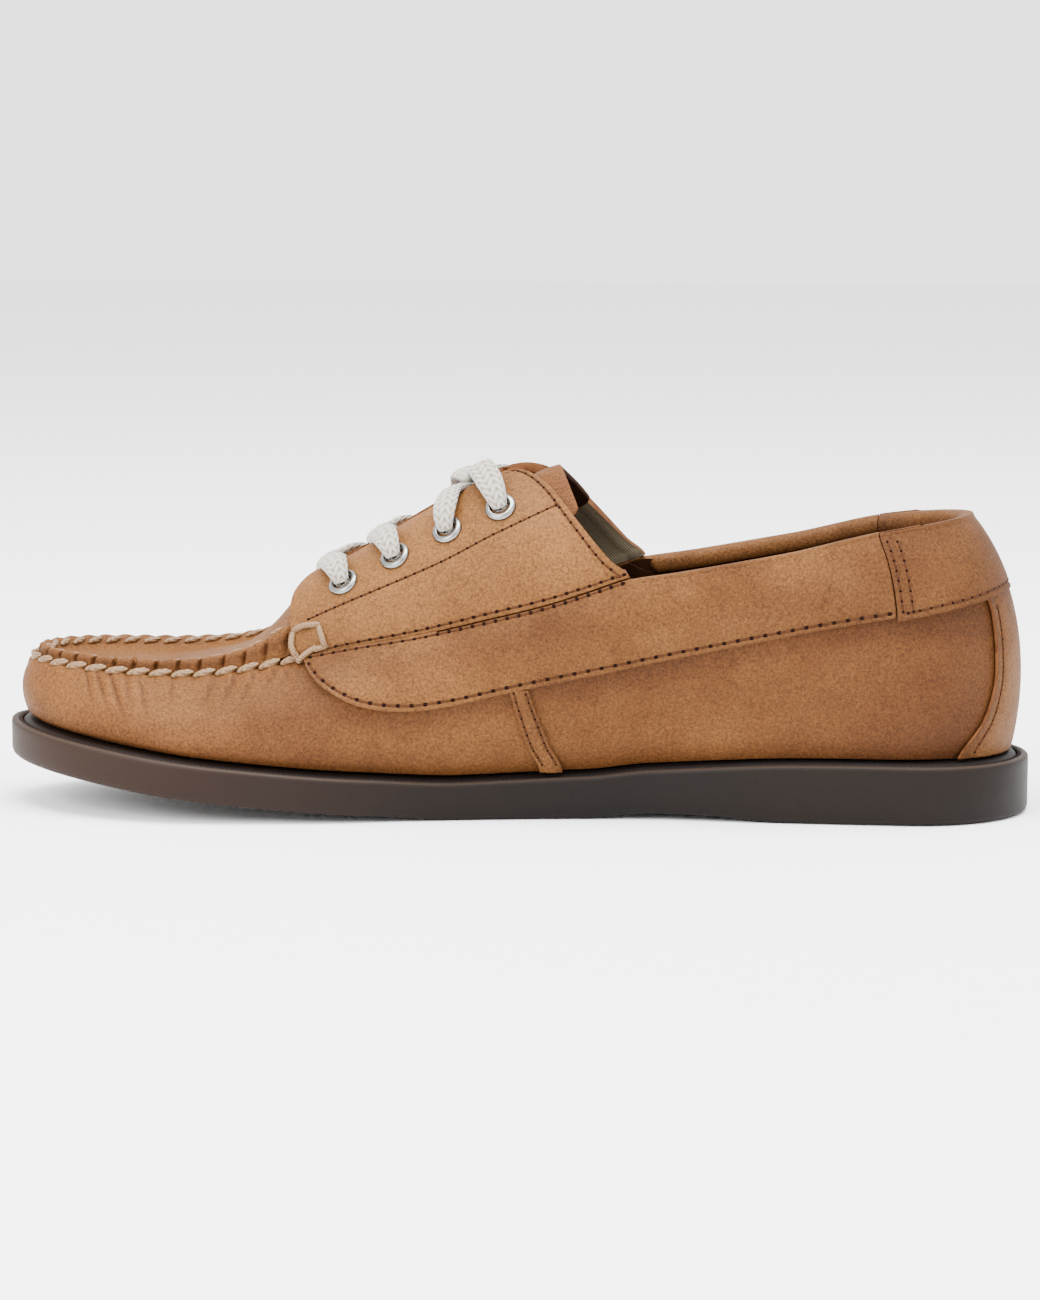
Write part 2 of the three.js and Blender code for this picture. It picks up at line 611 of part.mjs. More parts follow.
function eyeletHole(inner, number) {
  const { point, normal } = eyeletPlace(inner, number);
  const hole = new THREE.CylinderGeometry(EYELET_BARREL + SEAT_GAP, EYELET_BARREL + SEAT_GAP, HOLE_REACH, HOLE_SIDES);
  return solid(hole.applyQuaternion(turnedTo(normal)).translate(point.x, point.y, point.z));
}
const eyeletHoles = [];
for (let number = 1; number <= EYELETS; number += 1) {
  eyeletHoles.push(eyeletHole(true, number), eyeletHole(false, number));
}
function pierced(body) {
  return eyeletHoles.reduce((rest, hole) => rest.subtract(hole), body);
}

// Upper: one hollow shell, open underneath, at the collar and down the throat
function makeUpper() {
  const shell = lastForm(0, { last: ridgedLast }).subtract(lastForm(-WALL, { drop: CUT_DROP }));
  return pierced(shell.subtract(openTop).subtract(throatSlot(THROAT_HALF)));
}

// A leather that lies over the upper with a seat gap, inside an outline seen from the side
function overlay(thickness, outline) {
  const last = ridgedLast;
  const layer = lastForm(SEAT_GAP + thickness, { last }).subtract(lastForm(SEAT_GAP, { last, drop: CUT_DROP }));
  return layer.intersect(outline);
}
function halfSpace(inner) {
  const reach = CUT_REACH * 2;
  const block = new THREE.BoxGeometry(reach * 2, reach, reach * 2);
  return solid(block.translate(0, (inner ? 1 : -1) * (reach / 2 + THROAT_HALF / 2), 0));
}

const JOINT_BACK = 0.36; // share of the sole length where the quarter's lower edge starts
const jointLine = seamLine(JOINT_BACK, QUARTER_FRONT[0].at, 18);
function makeQuarter(inner) {
  const outline = sideBlock([
    ...shifted(jointLine, 0, SEAT_GAP),
    ...sideLine(QUARTER_FRONT, 2).slice(1),
    [QUARTER_FRONT.at(-1).at * SOLE_LENGTH, CUT_REACH],
    [JOINT_BACK * SOLE_LENGTH, CUT_REACH],
  ]);
  const flap = overlay(PANEL, outline).subtract(openTop).subtract(throatSlot(THROAT_HALF));
  return pierced(flap.intersect(halfSpace(inner)));
}

function makeSidePanel(inner) {
  const tabFront = TAB_FRONT[0].at * SOLE_LENGTH;
  const outline = sideBlock([
    ...sideLine(PANEL_EDGE, 3),
    ...shifted(sideLine(TAB_FRONT).reverse(), SEAT_GAP, 0),
    ...collarLine.filter(([x]) => x > tabFront + SEAT_GAP && x < jointLine[0][0]),
    ...jointLine.filter(([x]) => x < PANEL_EDGE[0].at * SOLE_LENGTH - PANEL * 2),
  ]);
  return overlay(PANEL, outline).subtract(openTop).intersect(halfSpace(inner));
}

function makeHeelTab() {
  const outline = sideBlock([
    ...sideLine(TAB_FRONT),
    ...sideLine(TAB_EDGE),
    [-CUT_REACH, CUT_REACH],
    [TAB_FRONT[0].at * SOLE_LENGTH, CUT_REACH],
  ]);
  return overlay(TAB, outline).subtract(openTop);
}

function makeBackStrip() {
  const tabEdge = shifted(sideLine(TAB_EDGE).slice(1), 0, -SEAT_GAP);
  const outline = sideBlock([
    [-CUT_REACH, 0],
    ...sideLine(BACK_STRIP, 2),
    ...tabEdge,
  ]);
  return overlay(STRAP, outline);
}

function makeSideStrap(inner) {
  const front = SIDE_STRAP.map((row) => [row.front * SOLE_LENGTH, row.height]);
  const back = SIDE_STRAP.map((row) => [row.back * SOLE_LENGTH, row.height]).reverse();
  return overlay(STRAP, sideBlock([...front, ...back])).intersect(halfSpace(inner));
}

// Tongue: a leather under the throat, one eyelet's back below the wall
const TONGUE_TOP = -(WALL + EYELET_SEAT + EYELET_CURL + SEAT_GAP);
function makeTongue() {
  const last = tongueLast;
  const layer = lastForm(TONGUE_TOP, { last }).subtract(lastForm(TONGUE_TOP - TONGUE, { last, drop: CUT_DROP }));
  const middle = BALL_WIDTH * along(LAST, "middle", THROAT_FRONT / SOLE_LENGTH);
  const side = (sign) =>
    TONGUE_PLAN.map((row) => [row.at * SOLE_LENGTH, middle + sign * row.half * BALL_WIDTH]);
  return layer.intersect(planBlock([...side(1), ...side(-1).reverse()], TOE_HEIGHT * 0.9, CUT_REACH));
}

// Insole: lies on the sole inside the wall
function makeInsole() {
  const inset = SOLE_LEDGE + WALL;
  const layer = (lift) => soleRing(-inset, (share) => deckHeight(share) + SEAT_GAP + lift);
  const slab = solid(ringGeometry([layer(0), layer(INSOLE)]));
  return lastForm(-WALL - SEAT_GAP, { drop: CUT_DROP }).intersect(slab);
}

// Eyelet: a rolled ring whose barrel goes through quarter and wall
function eyeletGeometry() {
  const front = SEAT_GAP + PANEL + EYELET_SEAT;
  const back = -(WALL + EYELET_SEAT);
  const profile = [
    [EYELET_HOLE, back - EYELET_CURL],
    [EYELET_BACK, back - EYELET_CURL],
    [EYELET_BACK, back],
    [EYELET_BARREL, back],
    [EYELET_BARREL, front],
    [EYELET_FLANGE, front],
    [EYELET_FLANGE - 0.6, front + EYELET_RIM],
    [EYELET_HOLE, front + EYELET_RIM],
    [EYELET_HOLE, back - EYELET_CURL],
  ];
  return new THREE.LatheGeometry(profile.map(([r, z]) => new THREE.Vector2(r, z)), HOLE_SIDES);
}

// A flat lace along stations, each with its place, its outward direction and how far it has opened from the
// round bundle that passes an eyelet, 0, to its full width, 1
function laceSolid(stations) {
  const curve = new THREE.CatmullRomCurve3(stations.map((station) => station.place));
  const rings = stations.map((station, index) => {
    const tangent = curve.getTangent(index / (stations.length - 1));
    const across = tangent.clone().cross(station.normal).normalize();
    const lift = across.clone().cross(tangent).normalize();
    const half = THREE.MathUtils.lerp(LACE_IN_HOLE, LACE_WIDTH, station.open) / 2;
    const thick = THREE.MathUtils.lerp(LACE_IN_HOLE, LACE_THICKNESS, station.open) / 2;
    return Array.from({ length: LACE_SIDES }, (_, corner) => {
      const turn = (2 * Math.PI * corner) / LACE_SIDES;
      return station.place
        .clone()
        .addScaledVector(across, half * Math.cos(turn))
        .addScaledVector(lift, thick * Math.sin(turn));
    });
  });
  return solid(ringGeometry(rings));
}

// Stations of a lace from one inner eyelet over the throat to one outer eyelet
const LACE_RUN = [
  { spread: 1, lift: -0.4, open: 0 },
  { spread: 1, lift: 1.4, open: 0 },
  { spread: 1, lift: 3.2, open: 0.3 },
  { spread: 0.8, lift: 4.2, open: 0.9 },
  { spread: 0.6, lift: 2.8, open: 1 },
  { spread: 0.42, lift: 2, open: 1 },
  { spread: 0.2, lift: 1.1, open: 1 },
  { spread: 0, lift: 0.7, open: 1 },
];
function laceStations(innerNumber, outerNumber, rise) {
  const from = FIRST_EYELET - EYELET_PITCH * (innerNumber - 1);
  const to = FIRST_EYELET - EYELET_PITCH * (outerNumber - 1);
  const half = (inner) =>
    LACE_RUN.map(({ spread, lift, open }) => {
      const x = THREE.MathUtils.lerp((from + to) / 2, inner ? from : to, spread);
      const { point, normal } = instepPlace(inner, x, EYELET_SPREAD * spread);
      const height = SEAT_GAP + PANEL + lift + rise * (1 - spread);
      return { place: point.addScaledVector(normal, height), normal, open };
    });
  return [...half(true), ...half(false).reverse().slice(1)];
}

// Materials by finish
function finish(colour, roughness, metalness = 0) {
  return new THREE.MeshStandardMaterial({ color: colour, roughness, metalness });
}
const TAN_LEATHER = "#c4925f";
const TONGUE_LEATHER = "#b88552";
const RUBBER = "#564a43";
const LINING = "#a08c74";
const SILVER = "#c9c9c6";
const COTTON = "#ddd3bf";

function geometryOf(body) {
  const { numProp, vertProperties, triVerts } = body.getMesh();
  const count = vertProperties.length / numProp;
  const positions = new Float32Array(count * 3);
  for (let index = 0; index < count; index += 1) {
    positions.set(vertProperties.subarray(index * numProp, index * numProp + 3), index * 3);
  }
  const geometry = new THREE.BufferGeometry();
  geometry.setAttribute("position", new THREE.BufferAttribute(positions, 3));
  geometry.setIndex(new THREE.BufferAttribute(triVerts, 1));
  geometry.computeVertexNormals();
  return geometry;
}

const shoe = new THREE.Group();
const outlineSides = soleRing(0, treadHeight).map((point) => point.y);
shoe.position.set(-SOLE_LENGTH / 2, -(Math.min(...outlineSides) + Math.max(...outlineSides)) / 2, 0);
function place(name, body, material) {
  const mesh = new THREE.Mesh(geometryOf(body), material);
  mesh.name = name;
  shoe.add(mesh);
}

place("outsole", makeSole(), finish(RUBBER, 0.6));
place("insole", makeInsole(), finish(LINING, 0.9));
place("upper", makeUpper(), finish(TAN_LEATHER, 0.6));
place("tongue", makeTongue(), finish(TONGUE_LEATHER, 0.7));
for (const [word, inner] of [["inner", true], ["outer", false]]) {
  place("quarter_" + word, makeQuarter(inner), finish(TAN_LEATHER, 0.6));
  place("side_panel_" + word, makeSidePanel(inner), finish(TAN_LEATHER, 0.6));
  place("side_strap_" + word, makeSideStrap(inner), finish(TAN_LEATHER, 0.65));
  for (let number = 1; number <= EYELETS; number += 1) {
    const { point, normal } = eyeletPlace(inner, number);
    const eyelet = new THREE.Mesh(eyeletGeometry(), finish(SILVER, 0.25, 1));
    eyelet.name = "eyelet_" + word + "_" + number;
    eyelet.position.copy(point);
    eyelet.quaternion.copy(turnedTo(normal));
    shoe.add(eyelet);
  }
}
place("heel_tab", makeHeelTab(), finish(TAN_LEATHER, 0.6));
place("back_strip", makeBackStrip(), finish(TAN_LEATHER, 0.65));
place("lace_bar_1", laceSolid(laceStations(1, 1, 0)), finish(COTTON, 0.9));
place("lace_bar_2", laceSolid(laceStations(2, 2, 0)), finish(COTTON, 0.9));
const under = laceSolid(laceStations(3, 4, 0));
const over = laceSolid(laceStations(4, 3, LACE_THICKNESS * 0.9));
place("lace_cross", under.add(over), finish(COTTON, 0.9));

export default shoe;
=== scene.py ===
import math

import bmesh
import bpy
import numpy as np
from mathutils import Matrix, Vector

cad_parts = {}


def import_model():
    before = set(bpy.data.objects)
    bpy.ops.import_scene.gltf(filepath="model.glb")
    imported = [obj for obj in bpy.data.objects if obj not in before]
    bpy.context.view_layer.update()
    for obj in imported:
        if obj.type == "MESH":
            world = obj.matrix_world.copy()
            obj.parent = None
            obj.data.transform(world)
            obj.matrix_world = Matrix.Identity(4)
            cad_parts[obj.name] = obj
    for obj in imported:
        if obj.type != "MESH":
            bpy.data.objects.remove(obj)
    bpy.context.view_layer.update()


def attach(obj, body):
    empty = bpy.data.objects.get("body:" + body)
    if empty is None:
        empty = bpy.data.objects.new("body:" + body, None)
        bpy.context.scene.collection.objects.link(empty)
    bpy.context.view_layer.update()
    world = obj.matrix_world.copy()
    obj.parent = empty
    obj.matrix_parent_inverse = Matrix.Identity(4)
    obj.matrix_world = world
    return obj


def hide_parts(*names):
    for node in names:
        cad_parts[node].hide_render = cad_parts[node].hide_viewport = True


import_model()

# Sizes of the shoe in millimetres. Lengths run from the back of the sole to the toe, the inner side of the
# foot is at positive y, and heights start at the floor.
SOLE_LENGTH = 297.0
BALL_WIDTH = 102.0
HEEL_WIDTH = 67.0
TOE_HEIGHT = 43.0
INSTEP_HEIGHT = 100.0
COLLAR_HEIGHT = 69.0
BACK_HEIGHT = 85.0
HEEL_THICKNESS = 16.3
FOREPART_THICKNESS = 10.3
TOE_SPRING = 14.0
WAIST_ARCH = 1.5
RIM_STEP = 1.2
EDGE_ROUND = 1.6
TREAD_DEPTH = 1.6
TREAD_PITCH = 12.5
WALL = 2.0
SEAT_GAP = 0.3
PANEL_LIFT = 1.7
TAB_LIFT = 2.0
STRAP_LIFT = 1.4
SOLE_LEDGE = 4.0
TOE_LEDGE = 5.5
HEEL_LEDGE = 6.5
APRON_TIP = 7.5
APRON_ROUND = 28.0
THROAT_HALF = 8.5
THROAT_FRONT = 0.7105 * SOLE_LENGTH
FIRST_EYELET = 0.6575 * SOLE_LENGTH
EYELET_PITCH = 0.0505 * SOLE_LENGTH
EYELET_SPREAD = 21.5
SEAM_STITCH = 6.4
LACE_WIDTH = 7.8
LACE_THICKNESS = 3.0

HEEL_REACH = [HEEL_LEDGE, HEEL_LEDGE - 6.2, HEEL_LEDGE - 1.2, HEEL_LEDGE + 14]
TOE_REACH = [
    SOLE_LENGTH - TOE_LEDGE,
    SOLE_LENGTH - TOE_LEDGE + 3.5,
    SOLE_LENGTH - APRON_TIP + 5,
    SOLE_LENGTH - APRON_TIP,
]
SOLE_ENDS = (0.115, 0.77, 0.66, 2.2)
SHOULDER_ENDS = (0.12, 0.83, 0.74, 2.2)
SEAM_ENDS = (0.125, 0.87, 0.8, 2.0)


class Curve:
    """A smooth line through stations, flat where it turns."""

    def __init__(self, stations):
        self.x, self.y = (np.array(values, float) for values in zip(*stations))
        rates = np.diff(self.y) / np.diff(self.x)
        before = np.concatenate([rates[:1], rates])
        after = np.concatenate([rates, rates[-1:]])
        low = np.maximum(np.arange(len(self.x)) - 1, 0)
        high = np.minimum(np.arange(len(self.x)) + 1, len(self.x) - 1)
        chord = (self.y[high] - self.y[low]) / (self.x[high] - self.x[low])
        self.slope = np.where(before * after > 0, chord, 0.0)

        self.fine = np.linspace(self.x[0], self.x[-1], 4001)
        self.value = self.exact(self.fine)

    def exact(self, at):
        row = np.clip(np.searchsorted(self.x, at, side="left") - 1, 0, len(self.x) - 2)
        span = self.x[row + 1] - self.x[row]
        u = (at - self.x[row]) / span
        return (
            (2 * u**3 - 3 * u**2 + 1) * self.y[row]
            + (u**3 - 2 * u**2 + u) * self.slope[row] * span
            + (3 * u**2 - 2 * u**3) * self.y[row + 1]
            + (u**3 - u**2) * self.slope[row + 1] * span
        )

    def __call__(self, at):
        return np.interp(at, self.fine, self.value)


# Plan of the sole: share of its length, middle line and width
SOLE_PLAN = [
    (0.0, 0.0, 1.0, 0.0),
    (0.115, 0.0, 1.0, 0.0),
    (0.25, -0.01, 0.7, 0.2),
    (0.38, -0.04, 0.4, 0.42),
    (0.5, -0.054, 0.1, 0.73),
    (0.62, -0.04, 0.0, 0.93),
    (0.7, -0.02, 0.0, 0.99),
    (0.8, 0.015, 0.0, 0.98),
    (0.9, 0.044, 0.0, 0.92),
    (1.0, 0.064, 0.0, 0.86),
]
# Side of the sole: share of its length, toe spring, waist arch and heel
SOLE_SIDE = [
    (0.0, 0.0, 0.0, 1.0),
    (0.235, 0.0, 0.0, 0.99),
    (0.3, 0.0, 0.85, 0.6),
    (0.36, 0.0, 1.0, 0.36),
    (0.425, 0.0, 0.0, 0.27),
    (0.54, 0.0, 0.0, 0.04),
    (0.62, 0.1, 0.0, 0.0),
    (0.7, 0.23, 0.0, 0.0),
    (0.8, 0.45, 0.0, 0.0),
    (0.9, 0.73, 0.0, 0.0),
    (1.0, 1.0, 0.0, 0.0),
]
# Last: share of the length, middle, low swell, high swell, inner and outer half width, seam, crest, round
LAST = [
    (0.0, 0.0, 0.05, 0.07, 26.8, 26.8, 87.98, 102.0, 2.0),
    (0.15, 0.0, 0.05, 0.07, 26.8, 26.8, 83.47, 105.4, 2.0),
    (0.26, 0.005, 0.055, 0.065, 28.68, 29.48, 77.14, 104.0, 2.0),
    (0.337, 0.01, 0.065, 0.06, 29.15, 30.49, 72.38, 102.0, 2.0),
    (0.385, 0.012, 0.07, 0.06, 30.09, 31.82, 69.0, 100.5, 2.0),
    (0.42, 0.014, 0.07, 0.06, 30.6, 32.95, 65.41, 100.0, 2.0),
    (0.463, 0.015, 0.07, 0.06, 31.31, 34.68, 61.27, 99.2, 2.0),
    (0.51, 0.015, 0.07, 0.062, 31.62, 36.01, 57.68, 97.0, 2.0),
    (0.582, 0.015, 0.066, 0.078, 31.11, 36.72, 52.44, 85.6, 2.0),
    (0.65, 0.012, 0.06, 0.088, 30.09, 36.21, 48.51, 73.2, 2.0),
    (0.7, 0.01, 0.054, 0.096, 29.27, 34.68, 45.15, 64.8, 1.9),
    (0.74, 0.01, 0.05, 0.094, 29.07, 33.97, 42.57, 51.6, 1.7),
    (0.77, 0.014, 0.048, 0.092, 28.56, 33.97, 41.07, 45.37, 1.6),
    (0.81, 0.022, 0.044, 0.09, 28.05, 34.17, 39.99, 41.5, 1.5),
    (0.86, 0.038, 0.043, 0.086, 26.72, 34.68, 40.42, 38.92, 1.5),
    (0.92, 0.05, 0.042, 0.08, 25.5, 34.88, 41.5, 39.99, 1.5),
    (1.0, 0.066, 0.042, 0.07, 24.48, 34.88, 43.0, 41.71, 1.5),
]


def columns(table, names):
    return {name: Curve([(row[0], row[i + 1]) for row in table]) for i, name in enumerate(names.split())}


plan = columns(SOLE_PLAN, "middle heel ball")
side_of_sole = columns(SOLE_SIDE, "spring arch heel")
last = columns(LAST, "middle low high inner outer seam crest round")

# Lines seen from the side, in millimetres
top_line = Curve([(-30, 90.1), (17.5, 85), (44.6, 81.3), (77.2, 75.1), (100.4, 70.9), (113.2, 69)])
quarter_rear = Curve([(60, 113.2), (69, 113.2), (74.1, 118.8), (85.4, 129.2), (96.2, 139.6), (100, 145)])
quarter_front = Curve([(45.1, 207.6), (51.6, 209.6), (57, 210.6), (62, 209.9), (67, 207.6), (72, 204)])
panel_low = Curve([
    (38, 58.7), (61.8, 54.7), (92.1, 48.6), (120.9, 42.5), (145.8, 37.2), (160, 33.8), (168.4, 32.2),
    (176.7, 31.4), (185.1, 31.9), (192.3, 33.7), (199.9, 37.6), (204.0, 41.2), (206.1, 44.6),
])
facing_row = Curve([(131.5, 89.2), (135.5, 87.6), (151.5, 80.2), (166.2, 72.4), (181.2, 65.6), (196.5, 58.9), (206, 54.5)])
tab_front = Curve([(58.6, 38.6), (61.2, 38.9), (70.6, 40.7), (76.5, 42.5), (81.3, 44.6), (85, 45.4)])
tab_low = Curve([(-30, 66.7), (7.4, 65), (20.8, 62.1), (38.6, 58.65), (46, 57.2)])
strip_front = Curve([(8.5, 22.3), (18.5, 21.1), (29.4, 14), (43.4, 11), (57.8, 12.2), (66, 14.9)])
strap_front = Curve([(6.9, 139.6), (13.8, 139), (21.4, 142.3), (29, 144.6), (36.7, 146.6), (42, 147.6)])
strap_back = Curve([(6.9, 132.5), (13.8, 132.5), (21.4, 135.7), (29, 138.4), (36.7, 141.1), (42, 142.4)])


def smooth(low, high, value):
    t = np.clip((np.asarray(value, float) - low) / (high - low), 0, 1)
    return t * t * (3 - 2 * t)


def bell(value, middle, breadth):
    return np.exp(-(((value - middle) / breadth) ** 2))


def closing(ends, inner, at):
    heel, toe_inner, toe_outer, power = ends
    start = np.where(inner, toe_inner, toe_outer)
    back = np.sqrt(np.clip(1 - (1 - at / heel) ** 2, 0, 1))
    front = np.sqrt(np.clip(1 - np.clip((at - start) / (1 - start), 0, 1) ** power, 0, 1))
    return np.where(at < heel, back, np.where(at <= start, 1.0, front))


def tread_height(share):
    return TOE_SPRING * side_of_sole["spring"](share) + WAIST_ARCH * side_of_sole["arch"](share)


def side_height(share):
    rise = (HEEL_THICKNESS - FOREPART_THICKNESS) * side_of_sole["heel"](share)
    return tread_height(share) + FOREPART_THICKNESS + rise


def sole_half(share):
    return (HEEL_WIDTH * plan["heel"](share) + BALL_WIDTH * plan["ball"](share)) / 2


def turned(turn):
    turn = np.asarray(turn, float)
    return (1 - np.cos(turn)) / 2, np.sin(turn) >= -1e-12


def wall(turn, rise):
    """The last's wall, all round, from the sole at rise 0 to the seam at rise 1."""
    at, inner = turned(turn)
    side = np.where(inner, 1.0, -1.0)
    points = []
    for level in range(4):
        x = HEEL_REACH[level] + (TOE_REACH[level] - HEEL_REACH[level]) * at
        share = x / SOLE_LENGTH
        foot = side_height(share) + RIM_STEP + SEAT_GAP
        seam = last["seam"](share)
        if level < 2:
            swell = BALL_WIDTH * last["low"](share) * level
            y = BALL_WIDTH * plan["middle"](share) + side * (sole_half(share) - SOLE_LEDGE + swell) * closing(
                SOLE_ENDS, inner, at
            )
            z = foot + level * 0.36 * (seam - foot)
        else:
            swell = BALL_WIDTH * last["high"](share) * (3 - level)
            half = np.where(inner, last["inner"](share), last["outer"](share)) + swell
            y = BALL_WIDTH * last["middle"](share) + side * half * closing(
                SEAM_ENDS if level == 3 else SHOULDER_ENDS, inner, at
            )
            z = seam if level == 3 else foot + 0.75 * (seam - foot)
        points.append(np.stack(np.broadcast_arrays(x, y, z), axis=-1))
    rise = np.asarray(rise, float)[..., None]
    a, b, c, d = points
    return (1 - rise) ** 3 * a + 3 * (1 - rise) ** 2 * rise * b + 3 * (1 - rise) * rise**2 * c + rise**3 * d


def top(turn, inward):
    """The last's top, from the seam at inward 0 to the crest line at inward 1."""
    at, inner = turned(turn)
    inward = np.asarray(inward, float)
    heel = HEEL_REACH[3] + APRON_ROUND * inward
    toe = TOE_REACH[3] - APRON_ROUND * inward
    x = heel + (toe - heel) * at
    share = x / SOLE_LENGTH
    half = np.where(inner, last["inner"](share), last["outer"](share)) * closing(SEAM_ENDS, inner, at)
    power = last["round"](share)
    climb = (1 - np.clip(1 - inward, 0, 1) ** power) ** (1 / power)
    z = last["seam"](share) + (last["crest"](share) - last["seam"](share)) * climb
    y = BALL_WIDTH * last["middle"](share) + np.where(inner, 1.0, -1.0) * half * (1 - inward)
    return np.stack(np.broadcast_arrays(x, y, z), axis=-1)


def unit(vectors):
    return vectors / np.maximum(np.linalg.norm(vectors, axis=-1, keepdims=True), 1e-12)


def with_normal(surface, turn, level, small=2e-3):
    along = surface(turn + small, level) - surface(turn - small, level)
    low = np.clip(level - small, 0.0, 1.0)
    high = np.clip(level + small, 0.0, 1.0)
    up = surface(turn, high) - surface(turn, low)
    return surface(turn, level), unit(np.cross(up, along))


def lifted(surface, turn, level, lift):
    point, normal = with_normal(surface, turn, level)
    return point + normal * np.asarray(lift, float)[..., None], normal


def nearer(turn, rise, height, steps, low=0.0):
    """Moves up or down the wall until the height is met."""
    for _ in range(steps):
        here = wall(turn, rise)[..., 2]
        slope = (wall(turn, rise + 1e-3)[..., 2] - here) / 1e-3
        rise = np.clip(rise - (here - height) / np.maximum(slope, 4), low, 1.0)
    return rise


def rise_at(turn, height):
    """How far up the wall a height lies."""
    turn, height = np.broadcast_arrays(np.asarray(turn, float), np.asarray(height, float))
    return nearer(turn, np.full(turn.shape, 0.5), height, 9)


def wall_turn(side, x, z):
    """Turn and rise of the wall's point on one side at a length and a height."""
    x, z = np.broadcast_arrays(np.asarray(x, float), np.asarray(z, float))
    turn = np.arccos(np.clip(1 - 2 * x / SOLE_LENGTH, -0.999, 0.999))
    rise = nearer(side * turn, np.full(x.shape, 0.5), z, 4, -0.1)
    for _ in range(6):
        error = wall(side * turn, rise)[..., 0] - x
        slope = (wall(side * (turn + 1e-4), rise)[..., 0] - wall(side * (turn - 1e-4), rise)[..., 0]) / 2e-4
        turn = np.clip(turn - error / np.where(np.abs(slope) < 5, 5, slope), 0.01, math.pi - 0.01)
        rise = nearer(side * turn, rise, z, 2, -0.1)
    return side * turn, rise


def on_wall(side, x, z, lift):
    turn, rise = wall_turn(side, x, z)
    return lifted(wall, turn, rise, lift)


def top_turn(side, x, inward):
    heel = HEEL_REACH[3] + APRON_ROUND * inward
    toe = TOE_REACH[3] - APRON_ROUND * inward
    return side * np.arccos(np.clip(1 - 2 * (x - heel) / (toe - heel), -1, 1))


def on_top(side, x, inward, lift):
    x, inward = np.broadcast_arrays(np.asarray(x, float), np.asarray(inward, float))
    return lifted(top, top_turn(side, x, inward), inward, lift)


def on_surface(side, x, z, lift):
    """A place at a length and a height, on the wall or above the seam on the top."""
    seam = seam_height(x)
    low_points, low_normals = on_wall(side, x, np.minimum(z, seam), lift)
    power = last["round"](x / SOLE_LENGTH)
    crest = last["crest"](x / SOLE_LENGTH)
    climb = np.clip((z - seam) / (crest - seam), 1e-4, 0.999)
    inward = 1 - (1 - climb**power) ** (1 / power)
    high_points, high_normals = on_top(side, x, np.clip(inward, 0.002, 0.99), lift)
    above = (z > seam)[:, None]
    return np.where(above, high_points, low_points), unit(np.where(above, high_normals, low_normals))


def sole_ring(count):
    turn = np.linspace(0, 2 * math.pi, count, endpoint=False)
    at, inner = turned(turn)
    width = sole_half(at) * closing(SOLE_ENDS, inner, at)
    y = BALL_WIDTH * plan["middle"](at) + np.where(inner, 1, -1) * width
    return np.stack([at * SOLE_LENGTH, y], axis=-1)


ring = sole_ring(52)
SIDE_SHIFT = -(ring[:, 1].min() + ring[:, 1].max()) / 2


def world(points):
    return (np.asarray(points) + [-SOLE_LENGTH / 2, SIDE_SHIFT, 0]) / 1000


# Materials
class Value:
    """A number in a material: sums, products and powers of it add the maths nodes."""

    def __init__(self, finish, socket):
        self.finish, self.socket = finish, socket

    def math(self, operation, *others, clamp=False):
        node = self.finish.tree.nodes.new("ShaderNodeMath")
        node.operation = operation
        node.use_clamp = clamp
        for place, value in enumerate((self,) + others):
            self.finish.plug(node.inputs[place], value)
        return Value(self.finish, node.outputs[0])

    def __add__(self, other):
        return self.math("ADD", other)

    def __radd__(self, other):
        return self.math("ADD", other)

    def __sub__(self, other):
        return self.math("SUBTRACT", other)

    def __rsub__(self, other):
        return (self * -1).math("ADD", other)

    def __mul__(self, other):
        return self.math("MULTIPLY", other)

    def __rmul__(self, other):
        return self.math("MULTIPLY", other)

    def __truediv__(self, other):
        return self.math("DIVIDE", other)

    def __pow__(self, other):
        return self.math("POWER", other)

    def sine(self):
        return self.math("SINE")

    def size(self):
        return self.math("ABSOLUTE")

    def between(self, low, high):
        return ((self - low) / (high - low)).math("ADD", 0.0, clamp=True)


